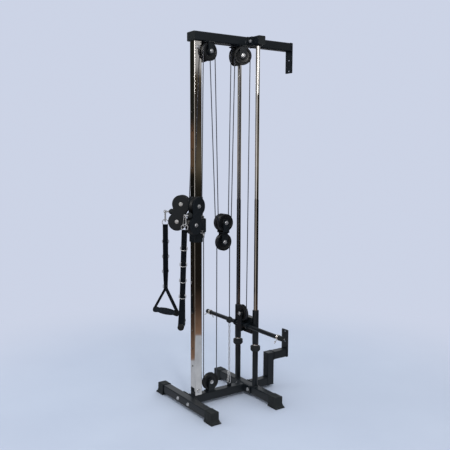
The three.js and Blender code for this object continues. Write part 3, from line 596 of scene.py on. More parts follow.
# ------------------------------------------------------------------ fasteners
def hex_bolt(name, place, body, radius=9.0, height=5.6, washer=11.0, shank=0.0, nut=False):
    """A washer and a chamfered hexagon standing on local +Z; a nut shows the thread's end."""
    Shape().lathe([(5, 0), (washer, 0), (washer, 1.4), (5, 1.4)], place, 32, True).build(
        f"{name}_washer", "zinc", body, 0.25)
    hexagon = Shape()
    hexagon.prism(circle(radius, 6), 1.4, 1.4 + height, place)
    dome = [(0, height + 1.9), (radius * 0.55, height + 1.8), (radius * 0.78, height + 1.4)]
    if nut:
        dome = [(0, height + 3.4), (3.4, height + 3.4), (4.4, height + 2.6), (4.6, height + 1.2)]
    hexagon.lathe([*dome, (radius * 0.7, height), (0, height)], place, 24)
    if shank:
        hexagon.lathe([(0, -shank), (5, -shank), (5, 1), (0, 1)], place, 20)
    weighted(hexagon.build(name, "zinc", body, 0.5))


def axle(name, centre, axis, reach, body, radius=9.5, height=5.2):
    """A bolt through both plates of a bracket: head on one side, nut on the other."""
    axis = Vector(axis).normalized()
    hex_bolt(f"{name}_bolt", facing(centre + axis * reach, axis), body, radius, height,
             radius + 2.2, 2 * reach)
    hex_bolt(f"{name}_nut", facing(centre - axis * reach, -axis), body, radius, height,
             radius + 2.2, nut=True)


# ------------------------------------------------------------------ frame
def square_tube(name, place, low, high, width=TUBE, depth=TUBE, wall=3.0, corner=5.0,
                look="frame_black", replaces=(), bevel=0.35):
    """A hollow tube along local Z with true corner radii."""
    shape = Shape()
    outer = rounded(width, depth, corner)
    inner = rounded(width - 2 * wall, depth - 2 * wall, corner - wall)
    rings = [[(x, y, z) for x, y in ring] for z in (low, high) for ring in (outer, inner)]
    count = len(outer)
    faces = []
    for a, b in ((0, 2), (3, 1), (1, 0), (2, 3)):
        for i in range(count):
            j = (i + 1) % count
            faces.append([a * count + i, a * count + j, b * count + j, b * count + i])
    shape.add([p for ring in rings for p in ring], faces, place)
    return weighted(shape.build(name, look, "frame", bevel, replaces=replaces))


def subtract(obj, cutter):
    """Cuts a shape out of a piece and leaves plain mesh behind."""
    mesh = bpy.data.meshes.new("cutter")
    mesh.from_pydata([p * MM for p in cutter.points], [], cutter.faces)
    soften(mesh, 0, 30, 1)
    tool = bpy.data.objects.new("cutter", mesh)
    bpy.context.scene.collection.objects.link(tool)
    modifier = obj.modifiers.new("holes", "BOOLEAN")
    modifier.object, modifier.operation, modifier.solver = tool, "DIFFERENCE", "EXACT"
    bpy.context.view_layer.update()
    evaluated = obj.evaluated_get(bpy.context.evaluated_depsgraph_get())
    result = bpy.data.meshes.new_from_object(evaluated)
    obj.modifiers.clear()
    obj.data = result
    bpy.data.objects.remove(tool)
    return weighted(obj)


HOLE_PITCH, HOLE_COUNT, HOLE_FIRST = 105.2, 15, 239.5
SIDE_BOLTS = (middle("column_bolt_lower").z, middle("column_bolt_upper").z)


def column():
    low, high = box("upright")
    tube = square_tube("column_tube", Matrix.Translation((*COLUMN, 0)), low.z, high.z,
                       look="chrome", replaces=("upright",), bevel=0.25)
    tube.modifiers.clear()
    holes = Shape()
    for i in range(HOLE_COUNT):
        centre = Vector((*COLUMN, HOLE_FIRST + i * HOLE_PITCH))
        holes.prism(circle(6, 32), 0, TUBE, facing(centre - Y * 5, -Y))
    subtract(tube, holes)
    for label, z in zip(("lower", "upper"), SIDE_BOLTS):
        for end, way in (("head", 1), ("nut", -1)):
            place = facing(Vector((*COLUMN, z)) + X * way * TUBE / 2, X * way)
            hex_bolt(f"column_bolt_{label}_{end}", place, "frame", 9.5, 5.4, 12.5,
                     nut=end == "nut")
    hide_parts("column_bolt_lower")
    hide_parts("column_bolt_upper")


def weld(name, path, radius=1.9):
    """A fillet of weld with its ripples, along a path."""
    points = [Vector(p) for p in path]
    fine = []
    for a, b in zip(points, points[1:]):
        steps = max(2, round((b - a).length / 1.6))
        fine += [a.lerp(b, i / steps) for i in range(steps)]
    fine.append(points[-1])
    radii = [radius * (1 + 0.16 * math.sin(2.1 * i)) for i in range(len(fine))]
    Shape().sweep(fine, radii, 8).build(name, "frame_black", "frame")


def tube_weld(name, y, mid, width, height, inset=2.0):
    """The bead round a tube that runs along Y, where it meets a flange."""
    loop = [Vector((x, y, mid + z)) for x, z in rounded(width + inset, height + inset, 6, 4)]
    weld(name, loop + loop[:1])


def flange_bolts(name, y_head, y_nut, z):
    """Two bolts through a flanged joint, with their heads in front."""
    for label, side in SIDES:
        x = side * FLANGE_BOLT_X
        hex_bolt(f"{name}_bolt_{label}", facing(Vector((x, y_head, z)), -Y), "frame",
                 8.6, 5.4, 10.6)
        hex_bolt(f"{name}_nut_{label}", facing(Vector((x, y_nut, z)), Y), "frame",
                 8.6, 5.4, 10.6, nut=True)


def base():
    for name in ("front_foot", "rear_foot", "base_beam"):
        softened(name, "frame_black", 0.9, segments=2)
    for end in ("front", "rear"):
        for label, _ in SIDES:
            softened(f"{end}_foot_cap_{label}", "rubber", 2.0, f"{end}_cap_{label}")
    front, rear = box("front_foot"), box("rear_foot")
    tube_weld("base_weld_front", front[1].y + PLATE + 1, BASE_MID, TUBE, TUBE)
    tube_weld("base_weld_rear", rear[0].y - PLATE - 1, BASE_MID, TUBE, TUBE)
    flange_bolts("front_flange", front[0].y, front[1].y + PLATE, BASE_MID)
    flange_bolts("rear_flange", rear[0].y - PLATE, rear[1].y, BASE_MID)


def wall_plate(name, low_z, high_z, holes, back):
    """A flat plate on the wall, rounded at its corners, with two screw holes."""
    width = 60
    centre = Vector((0, back - PLATE, (low_z + high_z) / 2))
    outline = rounded(width, high_z - low_z, 4, 6)
    cuts = [circle(5.5, 32, (0, z - centre.z)) for z in holes]
    shape = Shape().prism(outline, 0, PLATE, facing(centre, Y), cuts)
    return weighted(shape.build(name, "frame_black", "frame", 0.6))


def plug(name, place, width, height):
    """A plastic plug closing a tube's end; local +Z points out of the tube."""
    shape = Shape().prism(rounded(width, height, 5), 0.2, 3.2, place)
    weighted(shape.build(name, "rubber", "frame", 1.2, segments=3))


def top():
    rear_front = box("cross_beam")[0].y
    low, high = box("top_beam")
    width = 80
    place = facing(Vector((0, low.y, BEAM_MID)), Y)
    square_tube("top_beam_tube", place, 0, rear_front - PLATE - low.y, width, TUBE,
                replaces=("top_beam",))
    flange = Shape().prism(rounded(high.x - low.x, TUBE, 3, 4), -PLATE, -0.3,
                           facing(Vector((0, rear_front, BEAM_MID)), Y))
    weighted(flange.build("top_flange", "frame_black", "frame", 0.7))
    plug("top_beam_plug", facing(Vector((0, low.y, BEAM_MID)), -Y), width, TUBE)
    tube_weld("top_weld_front", rear_front - PLATE - 1, BEAM_MID, width, TUBE)
    cross_low, cross_high = box("cross_beam")
    square_tube("cross_beam_tube", facing(Vector((0, ROD_Y, BEAM_MID)), X), cross_low.x,
                cross_high.x, replaces=("cross_beam",))
    for label, side in SIDES:
        plug(f"cross_beam_plug_{label}", facing(Vector((side * cross_high.x, ROD_Y, BEAM_MID)),
                                                X * side), TUBE, TUBE)
    flange_bolts("top_flange", rear_front - PLATE, cross_high.y, BEAM_MID)
    bracket_low, bracket_high = box("top_wall_bracket")
    place = facing(Vector((0, bracket_low.y, BEAM_MID)), Y)
    square_tube("top_wall_arm", place, 0, bracket_high.y - PLATE - bracket_low.y,
                replaces=("top_wall_bracket",))
    tube_weld("top_weld_cross", bracket_low.y + 1, BEAM_MID, TUBE, TUBE)
    tube_weld("top_weld_wall", bracket_high.y - PLATE - 1, BEAM_MID, TUBE, TUBE)
    wall_plate("top_wall_plate", bracket_low.z, bracket_high.z, (1983, 2048), bracket_high.y)


def wall_brace():
    """The lower Z-shaped bracket: three tubes and a plate."""
    low, high = box("lower_wall_bracket")
    arm_low, post_front = 174, high.y - 162
    post_y = post_front + TUBE / 2
    square_tube("brace_foot", facing(Vector((0, low.y, BASE_MID)), Y), 0, post_front - low.y,
                replaces=("lower_wall_bracket",))
    post = Shape().prism(rounded(TUBE, TUBE, 5), low.z, arm_low + TUBE,
                         Matrix.Translation((0, post_y, 0)))
    weighted(post.build("brace_post", "frame_black", "frame", 0.9))
    arm_mid = arm_low + TUBE / 2
    square_tube("brace_arm", facing(Vector((0, post_front + TUBE, arm_mid)), Y), 0,
                high.y - PLATE - post_front - TUBE)
    tube_weld("brace_weld_rear_foot", low.y + 1, BASE_MID, TUBE, TUBE)
    tube_weld("brace_weld_low", post_front - 1, BASE_MID, TUBE, TUBE)
    tube_weld("brace_weld_arm", post_front + TUBE + 1, arm_mid, TUBE, TUBE)
    tube_weld("brace_weld_plate", high.y - PLATE - 1, arm_mid, TUBE, TUBE)
    wall_plate("lower_wall_plate", arm_low, high.z, (271, 337), high.y)


def guide_rods():
    for label, _ in SIDES:
        low, high = box(f"guide_rod_{label}")
        centre = middle(f"guide_rod_{label}")
        place = Matrix.Translation((centre.x, centre.y, 0))
        Shape().lathe([(0, low.z), (11.5, low.z), (12.5, low.z + 1), (12.5, high.z - 1),
                       (11.5, high.z), (0, high.z)], place, 64).build(
            f"rod_{label}", "chrome", "frame", replaces=(f"guide_rod_{label}",))
        post = box(f"post_{label}")
        Shape().lathe([(13, post[0].z), (17, post[0].z), (17, post[1].z), (13, post[1].z)], place,
                      56, True).build(f"post_tube_{label}", "frame_black", "frame", 0.5,
                                      replaces=(f"post_{label}",))
        foot = Shape().lathe([(17, post[0].z), (21, post[0].z), (17, post[0].z + 4)], place, 40,
                             True)
        foot.build(f"post_weld_{label}", "frame_black", "frame", 0.6)
        stop = box(f"bumper_{label}")
        profile = [(13, stop[0].z), (19, stop[0].z), (24, stop[0].z + 3.5),
                   (29.2, stop[0].z + 10), (30, stop[0].z + 12), (30, stop[1].z - 4),
                   (29, stop[1].z - 1.2), (27, stop[1].z), (17, stop[1].z), (13, stop[1].z - 2)]
        Shape().lathe(profile, place, 56, True).build(
            f"rubber_stop_{label}", "rubber", "frame", 0.6, replaces=(f"bumper_{label}",))
        top_collar = Shape().lathe([(12.6, BEAM_LOW - 5), (18, BEAM_LOW - 5), (18, BEAM_LOW),
                                    (12.6, BEAM_LOW)], place, 40, True)
        top_collar.build(f"rod_collar_{label}", "frame_black", "frame", 0.6)


# ------------------------------------------------------------------ pulleys
def pulley_profile():
    """Half of a nylon wheel, from its hub out over the recess and the lip into the groove."""
    hub, web, lip = 12.6, 7.6, 12.0
    half = [(13.2, hub), (17.2, hub), (18.4, hub - 1), (19.4, web + 0.8), (21, web),
            (36.5, web), (38.5, web + 0.8), (40, lip - 1.2), (41.6, lip), (50.2, lip),
            (51.6, lip - 0.8), (52, lip - 2), (51.4, 8.8), (47.5, 5.6), (44.6, 3.6),
            (43.4, 1.8), (43.1, 0)]
    return half + [(r, -h) for r, h in reversed(half[:-1])]


def pulleys():
    for name, joint in JOINTS.items():
        if not name.endswith("_spin") or "pulley" not in name:
            continue
        label = name.removesuffix("_spin")
        centre, axis = pivot(name)
        place = facing(centre, axis)
        body = joint["child"]
        Shape().lathe(pulley_profile(), place, 72, True).build(
            f"{label}_wheel", "nylon", body, smooth=24, replaces=(label,))
        race = [(6.4, 12.2), (8.4, 12.2), (8.8, 11.4), (10.9, 11.4), (11.3, 12.4), (13.1, 12.4)]
        race += [(r, -h) for r, h in reversed(race)]
        Shape().lathe(race, place, 40, True).build(f"{label}_bearing", "zinc", body, smooth=24)


def strip_pair(name, centre, axis, reach, length, body, upward=False):
    """Two round-ended strips either side of a wheel, running to a plate above or below it."""
    half, thick = 21.0, 5.0
    axis = Vector(axis).normalized()
    up = -Z if upward else Z
    made = []
    for label, start in (("inner", -reach - thick), ("outer", reach)):
        shape = Shape().prism(stadium(length, half), 0, thick,
                              facing(centre + axis * start, axis, up), [circle(6.2, 24)])
        made.append(weighted(shape.build(f"{name}_{label}", "frame_black", body, 0.7)))
    return made


def top_hangers():
    for end in ("front", "rear"):
        hanger = f"{end}_pulley_hanger"
        low, high = box(hanger)
        for label, _ in SIDES:
            centre, axis = pivot(f"{end}_top_pulley_{label}_spin")
            strips = strip_pair(f"{hanger}_{label}", centre, axis, STRIP_INSIDE,
                                high.z - centre.z - 3, "frame", upward=True)
            if label == "left":
                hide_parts(hanger)
            axle(f"{end}_axle_{label}", centre, axis, AXLE_REACH, "frame")
        centre_y = (low.y + high.y) / 2
        plate = Shape()
        bars = ((centre_y - 33, centre_y - 25), (centre_y + 25, centre_y + 33))
        for y0, y1 in bars:
            plate.block((-56, y0, high.z - 6), (56, y1, high.z))
        for x0, x1 in ((-56, -48), (-20, 20), (48, 56)):
            plate.block((x0, centre_y - 25, high.z - 6), (x1, centre_y + 25, high.z))
        weighted(plate.build(f"{end}_hanger_plate", "frame_black", "frame", 0.8))


def base_bracket():
    centre, axis = pivot("base_pulley_spin")
    strips = strip_pair("base_bracket", centre, axis, STRIP_INSIDE,
                        centre.z - BASE_TOP - 2, "frame")
    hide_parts("base_pulley_bracket")
    axle("base_axle", centre, axis, AXLE_REACH, "frame")
    low = BASE_TOP + 0.3
    plate = Shape().prism(rounded(44, 60, 4), low, low + 4,
                          Matrix.Translation((centre.x, centre.y, 0)))
    weighted(plate.build("base_bracket_plate", "frame_black", "frame", 0.6))


def floating_block():
    upper_left, axis = pivot("block_pulley_left_spin")
    upper_right, _ = pivot("block_pulley_right_spin")
    upper = (upper_left + upper_right) / 2
    lower, _ = pivot("block_pulley_lower_spin")
    inside = (upper_right - upper_left).length / 2 + STRIP_INSIDE
    plate_z, thick = 1013, 6
    strips = strip_pair("block_strip_upper", upper, axis, inside, upper.z - plate_z - 1, "block")
    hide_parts("block_frame")
    strip_pair("block_strip_lower", lower, axis, STRIP_INSIDE, plate_z + thick - 1 - lower.z,
               "block", upward=True)
    outline = rounded(2 * inside + 10, 42, 4)
    shape = Shape().prism(outline, plate_z, plate_z + thick,
                          Matrix.Translation((0, upper.y, 0)))
    weighted(shape.build("block_plate", "frame_black", "block", 0.8))
    axle("block_axle_upper", upper, axis, inside + 5, "block")
    axle("block_axle_lower", lower, axis, AXLE_REACH, "block")
    spacer = Shape().lathe([(6.2, -2.2), (9, -2.2), (9, 2.2), (6.2, 2.2)], facing(upper, axis),
                           32, True)
    spacer.build("block_spacer", "zinc", "block", 0.3)


# ------------------------------------------------------------------ trolley and heads
SLEEVE = {"outer": 60, "inner": 51, "low": 975, "high": 1232}


def trolley():
    place = Matrix.Translation((*COLUMN, 0))
    wall = (SLEEVE["outer"] - SLEEVE["inner"]) / 2
    sleeve = square_tube("trolley_sleeve", place, SLEEVE["low"], SLEEVE["high"], SLEEVE["outer"],
                         SLEEVE["outer"], wall, 6.5, bevel=0.6, replaces=("trolley",))
    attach(sleeve, "trolley")
    for label, z0, z1 in (("lower", SLEEVE["low"] - 2.5, SLEEVE["low"]),
                          ("upper", SLEEVE["high"], SLEEVE["high"] + 2.5)):
        liner = square_tube(f"trolley_liner_{label}", place, z0, z1, 57, 57, 3, 5.5, "nylon",
                            bevel=0.6)
        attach(liner, "trolley")
    y = COLUMN.y
    gusset = Shape().prism([(29, 0), (60, 10), (60, 87), (29, 97)], -14, 14,
                           facing(Vector((0, y, 1018)), X, Z))
    weighted(gusset.build("trolley_gusset", "frame_black", "trolley", 1.2))
    for label, side in SIDES:
        centre, _ = pivot(f"head_{label}_swivel")
        swivel_lugs(label, side, Vector((centre.x, centre.y, 0)))
    cable_fitting(CABLE_EYE)
    boss_y, pin_z = y - 29, 1081.1
    boss = Shape().lathe([(5.8, 0), (14, 0), (14, 12), (12.4, 14.6), (5.8, 14.6)],
                         facing(Vector((0, boss_y, pin_z)), -Y), 40, True)
    boss.build("pin_boss", "zinc", "trolley", 0.5)
    pull_pin(Vector((0, boss_y, pin_z)))


def swivel_lugs(label, side, centre):
    """Two plates that hold a head's knuckle, with the swivel bolt through them."""
    wall, half, thick = SLEEVE["outer"] / 2 - 0.5, 13, 8
    for end, z in (("upper", 1119.8), ("lower", 1036.2)):
        outline = arc(half, -90, 90, 14) + [(wall - abs(centre.x), half), (wall - abs(centre.x), -half)]
        outline = [(x * side, y) for x, y in outline]
        shape = Shape().prism(outline, z, z + thick, Matrix.Translation((centre.x, centre.y, 0)))
        weighted(shape.build(f"lug_{end}_{label}", "frame_black", "trolley", 0.9))
    hex_bolt(f"swivel_bolt_{label}", Matrix.Translation((centre.x, centre.y, 1127.8)), "trolley",
             8.5, 4.8, 11)
    hex_bolt(f"swivel_nut_{label}", facing(Vector((centre.x, centre.y, 1036.2)), -Z), "trolley",
             8.5, 4.8, 11, nut=True)


def cable_fitting(place):
    """The threaded end of the lower cable, locked in a lug behind the sleeve."""
    at = Matrix.Translation(place)
    Shape().lathe([(3.2, 0), (5.2, 0), (5.6, 3), (5.6, 22), (3.2, 22)], at, 28, True).build(
        "cable_ferrule", "zinc", "trolley", 0.4)
    for i, z in enumerate((22, 29)):
        shape = Shape().prism(circle(9.5, 6), z, z + 5.5, at)
        weighted(shape.build(f"cable_lock_nut_{i + 1}", "zinc", "trolley", 0.6))
    rod = [(0, 22)]
    for i in range(26):
        rod += [(4.6, 22 + i * 1.1), (4.0, 22.55 + i * 1.1)]
    Shape().lathe([*rod, (0, 51)], at, 24).build("cable_stud", "zinc", "trolley", smooth=20)


def pull_pin(place):
    face = facing(place, -Y)
    back = 15.3
    Shape().lathe([(0, 0.8), (5, 0.8), (5, back + 4), (0, back + 4)], face, 28).build(
        "pin_stem", "zinc", "pop_pin", 0.3)
    profile = [(0, back), (8, back), (9.4, back + 1.5), (10, back + 5), (14.2, back + 9),
               (15, back + 12), (15, back + 22), (14, back + 25.5), (10.5, back + 28.4),
               (5, back + 29), (0, back + 29)]
    knob = Shape().lathe(profile, face, 48)
    for i in range(12):
        angle = math.radians(30 * i)
        start = face @ Vector((15 * math.cos(angle), 15 * math.sin(angle), back + 11))
        end = face @ Vector((15 * math.cos(angle), 15 * math.sin(angle), back + 23))
        knob.sweep([start, start.lerp(end, 0.5), end], 1.0, 8)
    knob.build("pin_knob", "nylon", "pop_pin", replaces=("pop_pin",))


def figure_eight(radius, half_gap, waist, steps=20):
    """Two lobes on the Y axis joined by concave sides; waist is the half width between them."""
    fillet = (waist ** 2 + half_gap ** 2 - radius ** 2) / (2 * (radius - waist))
    side = waist + fillet
    lean = math.degrees(math.atan2(half_gap, side))
    upper = arc(radius, -lean, 180 + lean, 2 * steps, (0, half_gap))
    left = arc(fillet, lean, -lean, steps, (-side, 0))[1:-1]
    lower = arc(radius, 180 - lean, 360 + lean, 2 * steps, (0, -half_gap))
    right = arc(fillet, 180 + lean, 180 - lean, steps, (side, 0))[1:-1]
    return upper + left + lower + right


HEAD = {"radius": 53, "waist": 38, "inside": 14.0, "plate": 4.0}


def swivel_head(label):
    body = f"head_{label}"
    upper, axis = pivot(f"head_pulley_upper_{label}_spin")
    lower, _ = pivot(f"head_pulley_lower_{label}_spin")
    swivel, _ = pivot(f"head_{label}_swivel")
    centre = (upper + lower) / 2
    outline = figure_eight(HEAD["radius"], (upper - lower).length / 2, HEAD["waist"])
    inside, thick = HEAD["inside"], HEAD["plate"]
    holes = [circle(6.2, 24, (0, way * (upper - lower).length / 2)) for way in (1, -1)]
    for name, offset in (("outer", inside), ("inner", -inside - thick)):
        place = facing(centre + axis * offset, axis, upper - lower)
        shape = Shape().prism(outline, 0, thick, place, holes)
        made = weighted(shape.build(f"head_plate_{name}_{label}", "frame_black", body, 0.9))
        if name == "outer":
            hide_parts(f"head_frame_{label}")
    for name, spot in (("upper", upper), ("lower", lower)):
        axle(f"head_axle_{name}_{label}", spot, axis, inside + thick, body, 9.5, 5.0)
    forward = (lower - swivel)
    forward.z = 0
    forward.normalize()
    knuckle = Matrix.Translation((swivel.x, swivel.y, 0))
    profile = [(6.5, 1044.8), (11, 1044.8), (12, 1046), (12, 1118), (11, 1119.2), (6.5, 1119.2)]
    Shape().lathe(profile, knuckle, 40, True).build(f"head_knuckle_{label}", "frame_black", body,
                                                    0.4)
    for z in (1045.2, 1117.4):
        Shape().lathe([(6.5, z), (13, z), (13, z + 1.6), (6.5, z + 1.6)], knuckle, 32, True).build(
            f"head_bush_{label}_{int(z)}", "zinc", body, 0.3)
    bridge = Shape().block((-inside, -13, 4), (inside, 34, 17),
                           facing(Vector((swivel.x, swivel.y, 1068)), forward))
    weighted(bridge.build(f"head_bridge_{label}", "frame_black", body, 1.5))


# ------------------------------------------------------------------ handles
def handle_frames(label):
    """Where a handle hangs, the way across it, the way down it, and its grip's middle and axis."""
    hang, swing = pivot(f"handle_{label}_swing")
    middle_of_grip, axis = pivot(f"grip_{label}_spin")
    down = (middle_of_grip - hang).normalized()
    return hang, -swing, down, middle_of_grip, axis


STRAP = {"width": 31.0, "thick": 5.2, "top": 80.0, "split": 458.0, "web": 2.6}
TOP_FACING = {"left": 55.0, "right": 56.0}  # the strap's width direction at its top, degrees
TWISTED = 190.0  # the length above the split in which a strap turns
RINGS = (179.0, 267.6, 356.0, 445.0)  # the D-rings' middles below the hanging point
RING_FACE = {"left": -1, "right": 1}  # which face of the strap its D-rings lie on
WEB_WIDTH = {"left": 27.0, "right": 31.0}  # width of the single webs at the grip


def strap_turn(label, axis):
    """The strap's whole twist about its own line, from the grip's direction to its top."""
    grip_angle = math.degrees(math.atan2(axis.y, axis.x))
    return TOP_FACING[label] - 90 - grip_angle


def strap_frame(label, distance):
    """A matrix on the strap's line: local X across the webbing, Y out of its face, Z up."""
    hang, _, down, _, axis = handle_frames(label)
    share = min(1.0, max(0.0, (STRAP["split"] - distance) / TWISTED))
    share = share * share * (3 - 2 * share)
    turn = Quaternion(-down, math.radians(strap_turn(label, axis)) * share)
    face = turn @ axis
    rows = Matrix((face.cross(-down), face, -down)).transposed()
    return Matrix.Translation(hang + down * distance) @ rows.to_4x4()


def ribbon(name, stations, width, thick, body, look="webbing", replaces=()):
    """Webbing through stations of (matrix, offset out of the face), with UVs in metres."""
    shape = Shape()
    across = [-0.5, -0.49, -0.3, 0, 0.3, 0.49, 0.5]
    rows, run, last = [], 0.0, None
    for place, offset in stations:
        here = place @ Vector((0, offset, 0))
        run += (here - last).length if last else 0
        last = here
        front = [(a * width, offset + thick / 2 * (0.4 if abs(a) == 0.5 else 1), 0) for a in across]
        back = [(a * width, offset - thick / 2 * (0.4 if abs(a) == 0.5 else 1), 0)
                for a in reversed(across)]
        rows.append([(place @ Vector(p), run, p[0]) for p in front + back])
    size = len(rows[0])
    points = [p for row in rows for p, _, _ in row]
    uv = [(x * MM, run * MM) for row in rows for _, run, x in row]
    faces = [list(range(size)), [len(points) - size + i for i in reversed(range(size))]]
    for r in range(len(rows) - 1):
        for i in range(size):
            j = (i + 1) % size
            faces.append([r * size + i, (r + 1) * size + i, (r + 1) * size + j, r * size + j])
    shape.add(points, faces)
    obj = shape.build(name, look, body, smooth=50, replaces=replaces)
    layer = obj.data.uv_layers.new(name="webbing")
    for loop in obj.data.loops:
        layer.data[loop.index].uv = uv[loop.vertex_index] if loop.vertex_index < len(uv) else (0, 0)
    return obj


def stitches(name, place, points, body, size=0.55):
    """Short raised threads between pairs of points on a strap's face."""
    shape = Shape()
    for a, b in points:
        a, b = Vector(a), Vector(b)
        count = max(1, round((b - a).length / 3.2))
        for i in range(count):
            start, end = a.lerp(b, (i + 0.12) / count), a.lerp(b, (i + 0.88) / count)
            rise = Vector((0, size * 0.7, 0)) if start.y >= 0 else Vector((0, -size * 0.7, 0))
            shape.sweep([start, start.lerp(end, 0.5) + rise, end], size, 6, place=place)
    return shape.build(name, "thread", body)


def strap(label):
    body = f"handle_{label}"
    width, thick, top_z, split = (STRAP[k] for k in ("width", "thick", "top", "split"))
    layer = thick / 2 - 0.15
    count = 46
    for side, way in (("front", 1), ("back", -1)):
        stations = []
        for i in range(count + 1):
            distance = top_z - 4 + (split + 4 - top_z) * i / count
            puff = 0.105 * math.sin(i * 1.7 + way)
            stations.append((strap_frame(label, distance), way * (layer / 2 + 0.15) + puff))
        ribbon(f"strap_{side}_{label}", stations, width, layer, body,
               replaces=(f"strap_{label}",) if way > 0 else ())
    strap_loop(label, body)
    strap_webs(label, body)
    for i, distance in enumerate(RINGS):
        d_ring(label, i + 1, distance, body)


def strap_loop(label, body):
    """The fold of webbing that holds the top ring."""
    place = strap_frame(label, STRAP["top"])
    stations = []
    for i in range(17):
        angle = math.radians(-20 + 220 * i / 16)
        centre = Matrix.Translation(place @ Vector((0, 0, -3)) - place.translation)
        radius = 4.6
        local = Matrix.Translation((0, radius * math.cos(angle), radius * math.sin(angle) + 2))
        tilt = Matrix.Rotation(angle, 4, "X")
        stations.append((centre @ place @ local @ tilt, 0))
    ribbon(f"strap_loop_{label}", stations, STRAP["width"] - 1, 2.2, body)
    low = STRAP["thick"] / 2 + 0.2
    half = STRAP["width"] / 2 - 4
    lines = []
    for face in (1, -1):
        corners = [(-half, face * low, -16), (half, face * low, -16), (half, face * low, -46),
                   (-half, face * low, -46)]
        lines += list(zip(corners, corners[1:] + corners[:1]))
        lines += [(corners[0], corners[2]), (corners[1], corners[3])]
    stitches(f"strap_stitch_{label}", place, lines, body)


def d_ring(label, number, distance, body):
    """A D-ring lying on one face of the strap, held by a stitched tab of webbing."""
    way = RING_FACE[label]
    place = strap_frame(label, distance)
    out = way * (STRAP["thick"] / 2 + 1.9)
    half, top_z, low, corner, wire = 19.0, 9.0, -11.0, 2.5, 1.9
    outline = [(-half + corner, top_z)]
    outline += arc(corner, 90, 0, 4, (half - corner, top_z - corner))
    outline += [(half * x, low + 8 + 10 * z) for x, z in arc(1, 0, -180, 20)]
    outline += arc(corner, 180, 90, 4, (-half + corner, top_z - corner))
    path = [(x, out, z) for x, z in outline]
    Shape().sweep(path, wire, 12, True, place).build(f"d_ring_{number}_{label}", "zinc", body)
    tab = []
    for i in range(13):
        angle = math.radians(-60 + 240 * i / 12)
        local = Matrix.Translation((0, out + 3.0 * way * math.cos(angle),
                                    top_z + 3.0 * math.sin(angle)))
        tab.append((place @ local @ Matrix.Rotation(way * angle, 4, "X"), 0))
    ribbon(f"ring_tab_{number}_{label}", tab, 25, 1.5, body)
    pad = []
    for i in range(6):
        local = Matrix.Translation((0, way * (STRAP["thick"] / 2 + 0.7), top_z + 4 + i * 4.0))
        pad.append((place @ local, 0))
    ribbon(f"ring_pad_{number}_{label}", pad, 25, 1.4, body)
    face = way * (STRAP["thick"] / 2 + 1.5)
    rows = [((-10, face, z), (10, face, z)) for z in (top_z + 9, top_z + 13, top_z + 20)]
    stitches(f"ring_stitch_{number}_{label}", place, rows, body)


def strap_webs(label, body):
    """The two single webs from the split down to the grip's ends and past its tube."""
    hang, _, down, grip, axis = handle_frames(label)
    split = hang + down * STRAP["split"]
    across = axis.cross(down)
    reach = 84.5 + STRAP["web"] / 2
    drop = (grip - split).dot(down) - 12
    for end, way in (("near", 1), ("far", -1)):
        start = split + axis * way * 1.6
        corner = split + down * drop + axis * way * reach
        path = [start.lerp(corner, i / 22) for i in range(23)]
        path += [corner + down * d for d in (4, 12, 22)]
        stations = []
        for here, there in zip(path, path[1:] + [path[-1] + down]):
            normal = across.cross(there - here).normalized()
            rows = Matrix((across, normal, across.cross(normal))).transposed()
            stations.append((Matrix.Translation(here) @ rows.to_4x4(), 0))
        ribbon(f"strap_web_{end}_{label}", stations, WEB_WIDTH[label], STRAP["web"], body)


def grip(label):
    """A foam sleeve thicker in its middle, on a tube with a rubber washer at each end."""
    centre, axis = pivot(f"grip_{label}_spin")
    place = facing(centre, axis)
    half = 79.0
    profile = [(9, -half), (15.4, -half), (16.9, -half + 1.4), (17.3, -half + 4)]
    profile += [(17.4 - 2.6 * math.exp(-((abs(z) - 57) / 11) ** 2)
                 + 2.8 * math.exp(-(z / 34) ** 2), z) for z in range(-72, 73, 6)]
    profile += [(17.3, half - 4), (16.9, half - 1.4), (15.4, half), (9, half)]
    sleeve = Shape().lathe(profile, place, 56, True).build(
        f"foam_sleeve_{label}", "foam", f"grip_{label}", replaces=(f"grip_{label}",))
    core = [(0, -83.6), (8.4, -83.6), (9, -83), (9, 83), (8.4, 83.6), (0, 83.6)]
    Shape().lathe(core, place, 32).build(f"grip_tube_{label}", "nylon", f"grip_{label}")
    for end, way in (("a", 1), ("b", -1)):
        ring = [(9.1, way * 79.4), (17.6, way * 79.4), (18, way * 80.2), (18, way * 82.6),
                (17.4, way * 83.4), (9.1, way * 83.4)]
        Shape().lathe(ring, place, 48, True).build(f"grip_washer_{end}_{label}", "rubber",
                                                   f"grip_{label}", 0.3)
        out = 85 + STRAP["web"]
        button = [(0, way * out), (17.4, way * out), (18, way * (out + 0.6)),
                  (17.6, way * (out + 1.6)), (15, way * (out + 2.2)), (0, way * (out + 2.4))]
        Shape().lathe(button, place, 48).build(f"grip_button_{end}_{label}", "nylon",
                                               f"grip_{label}")


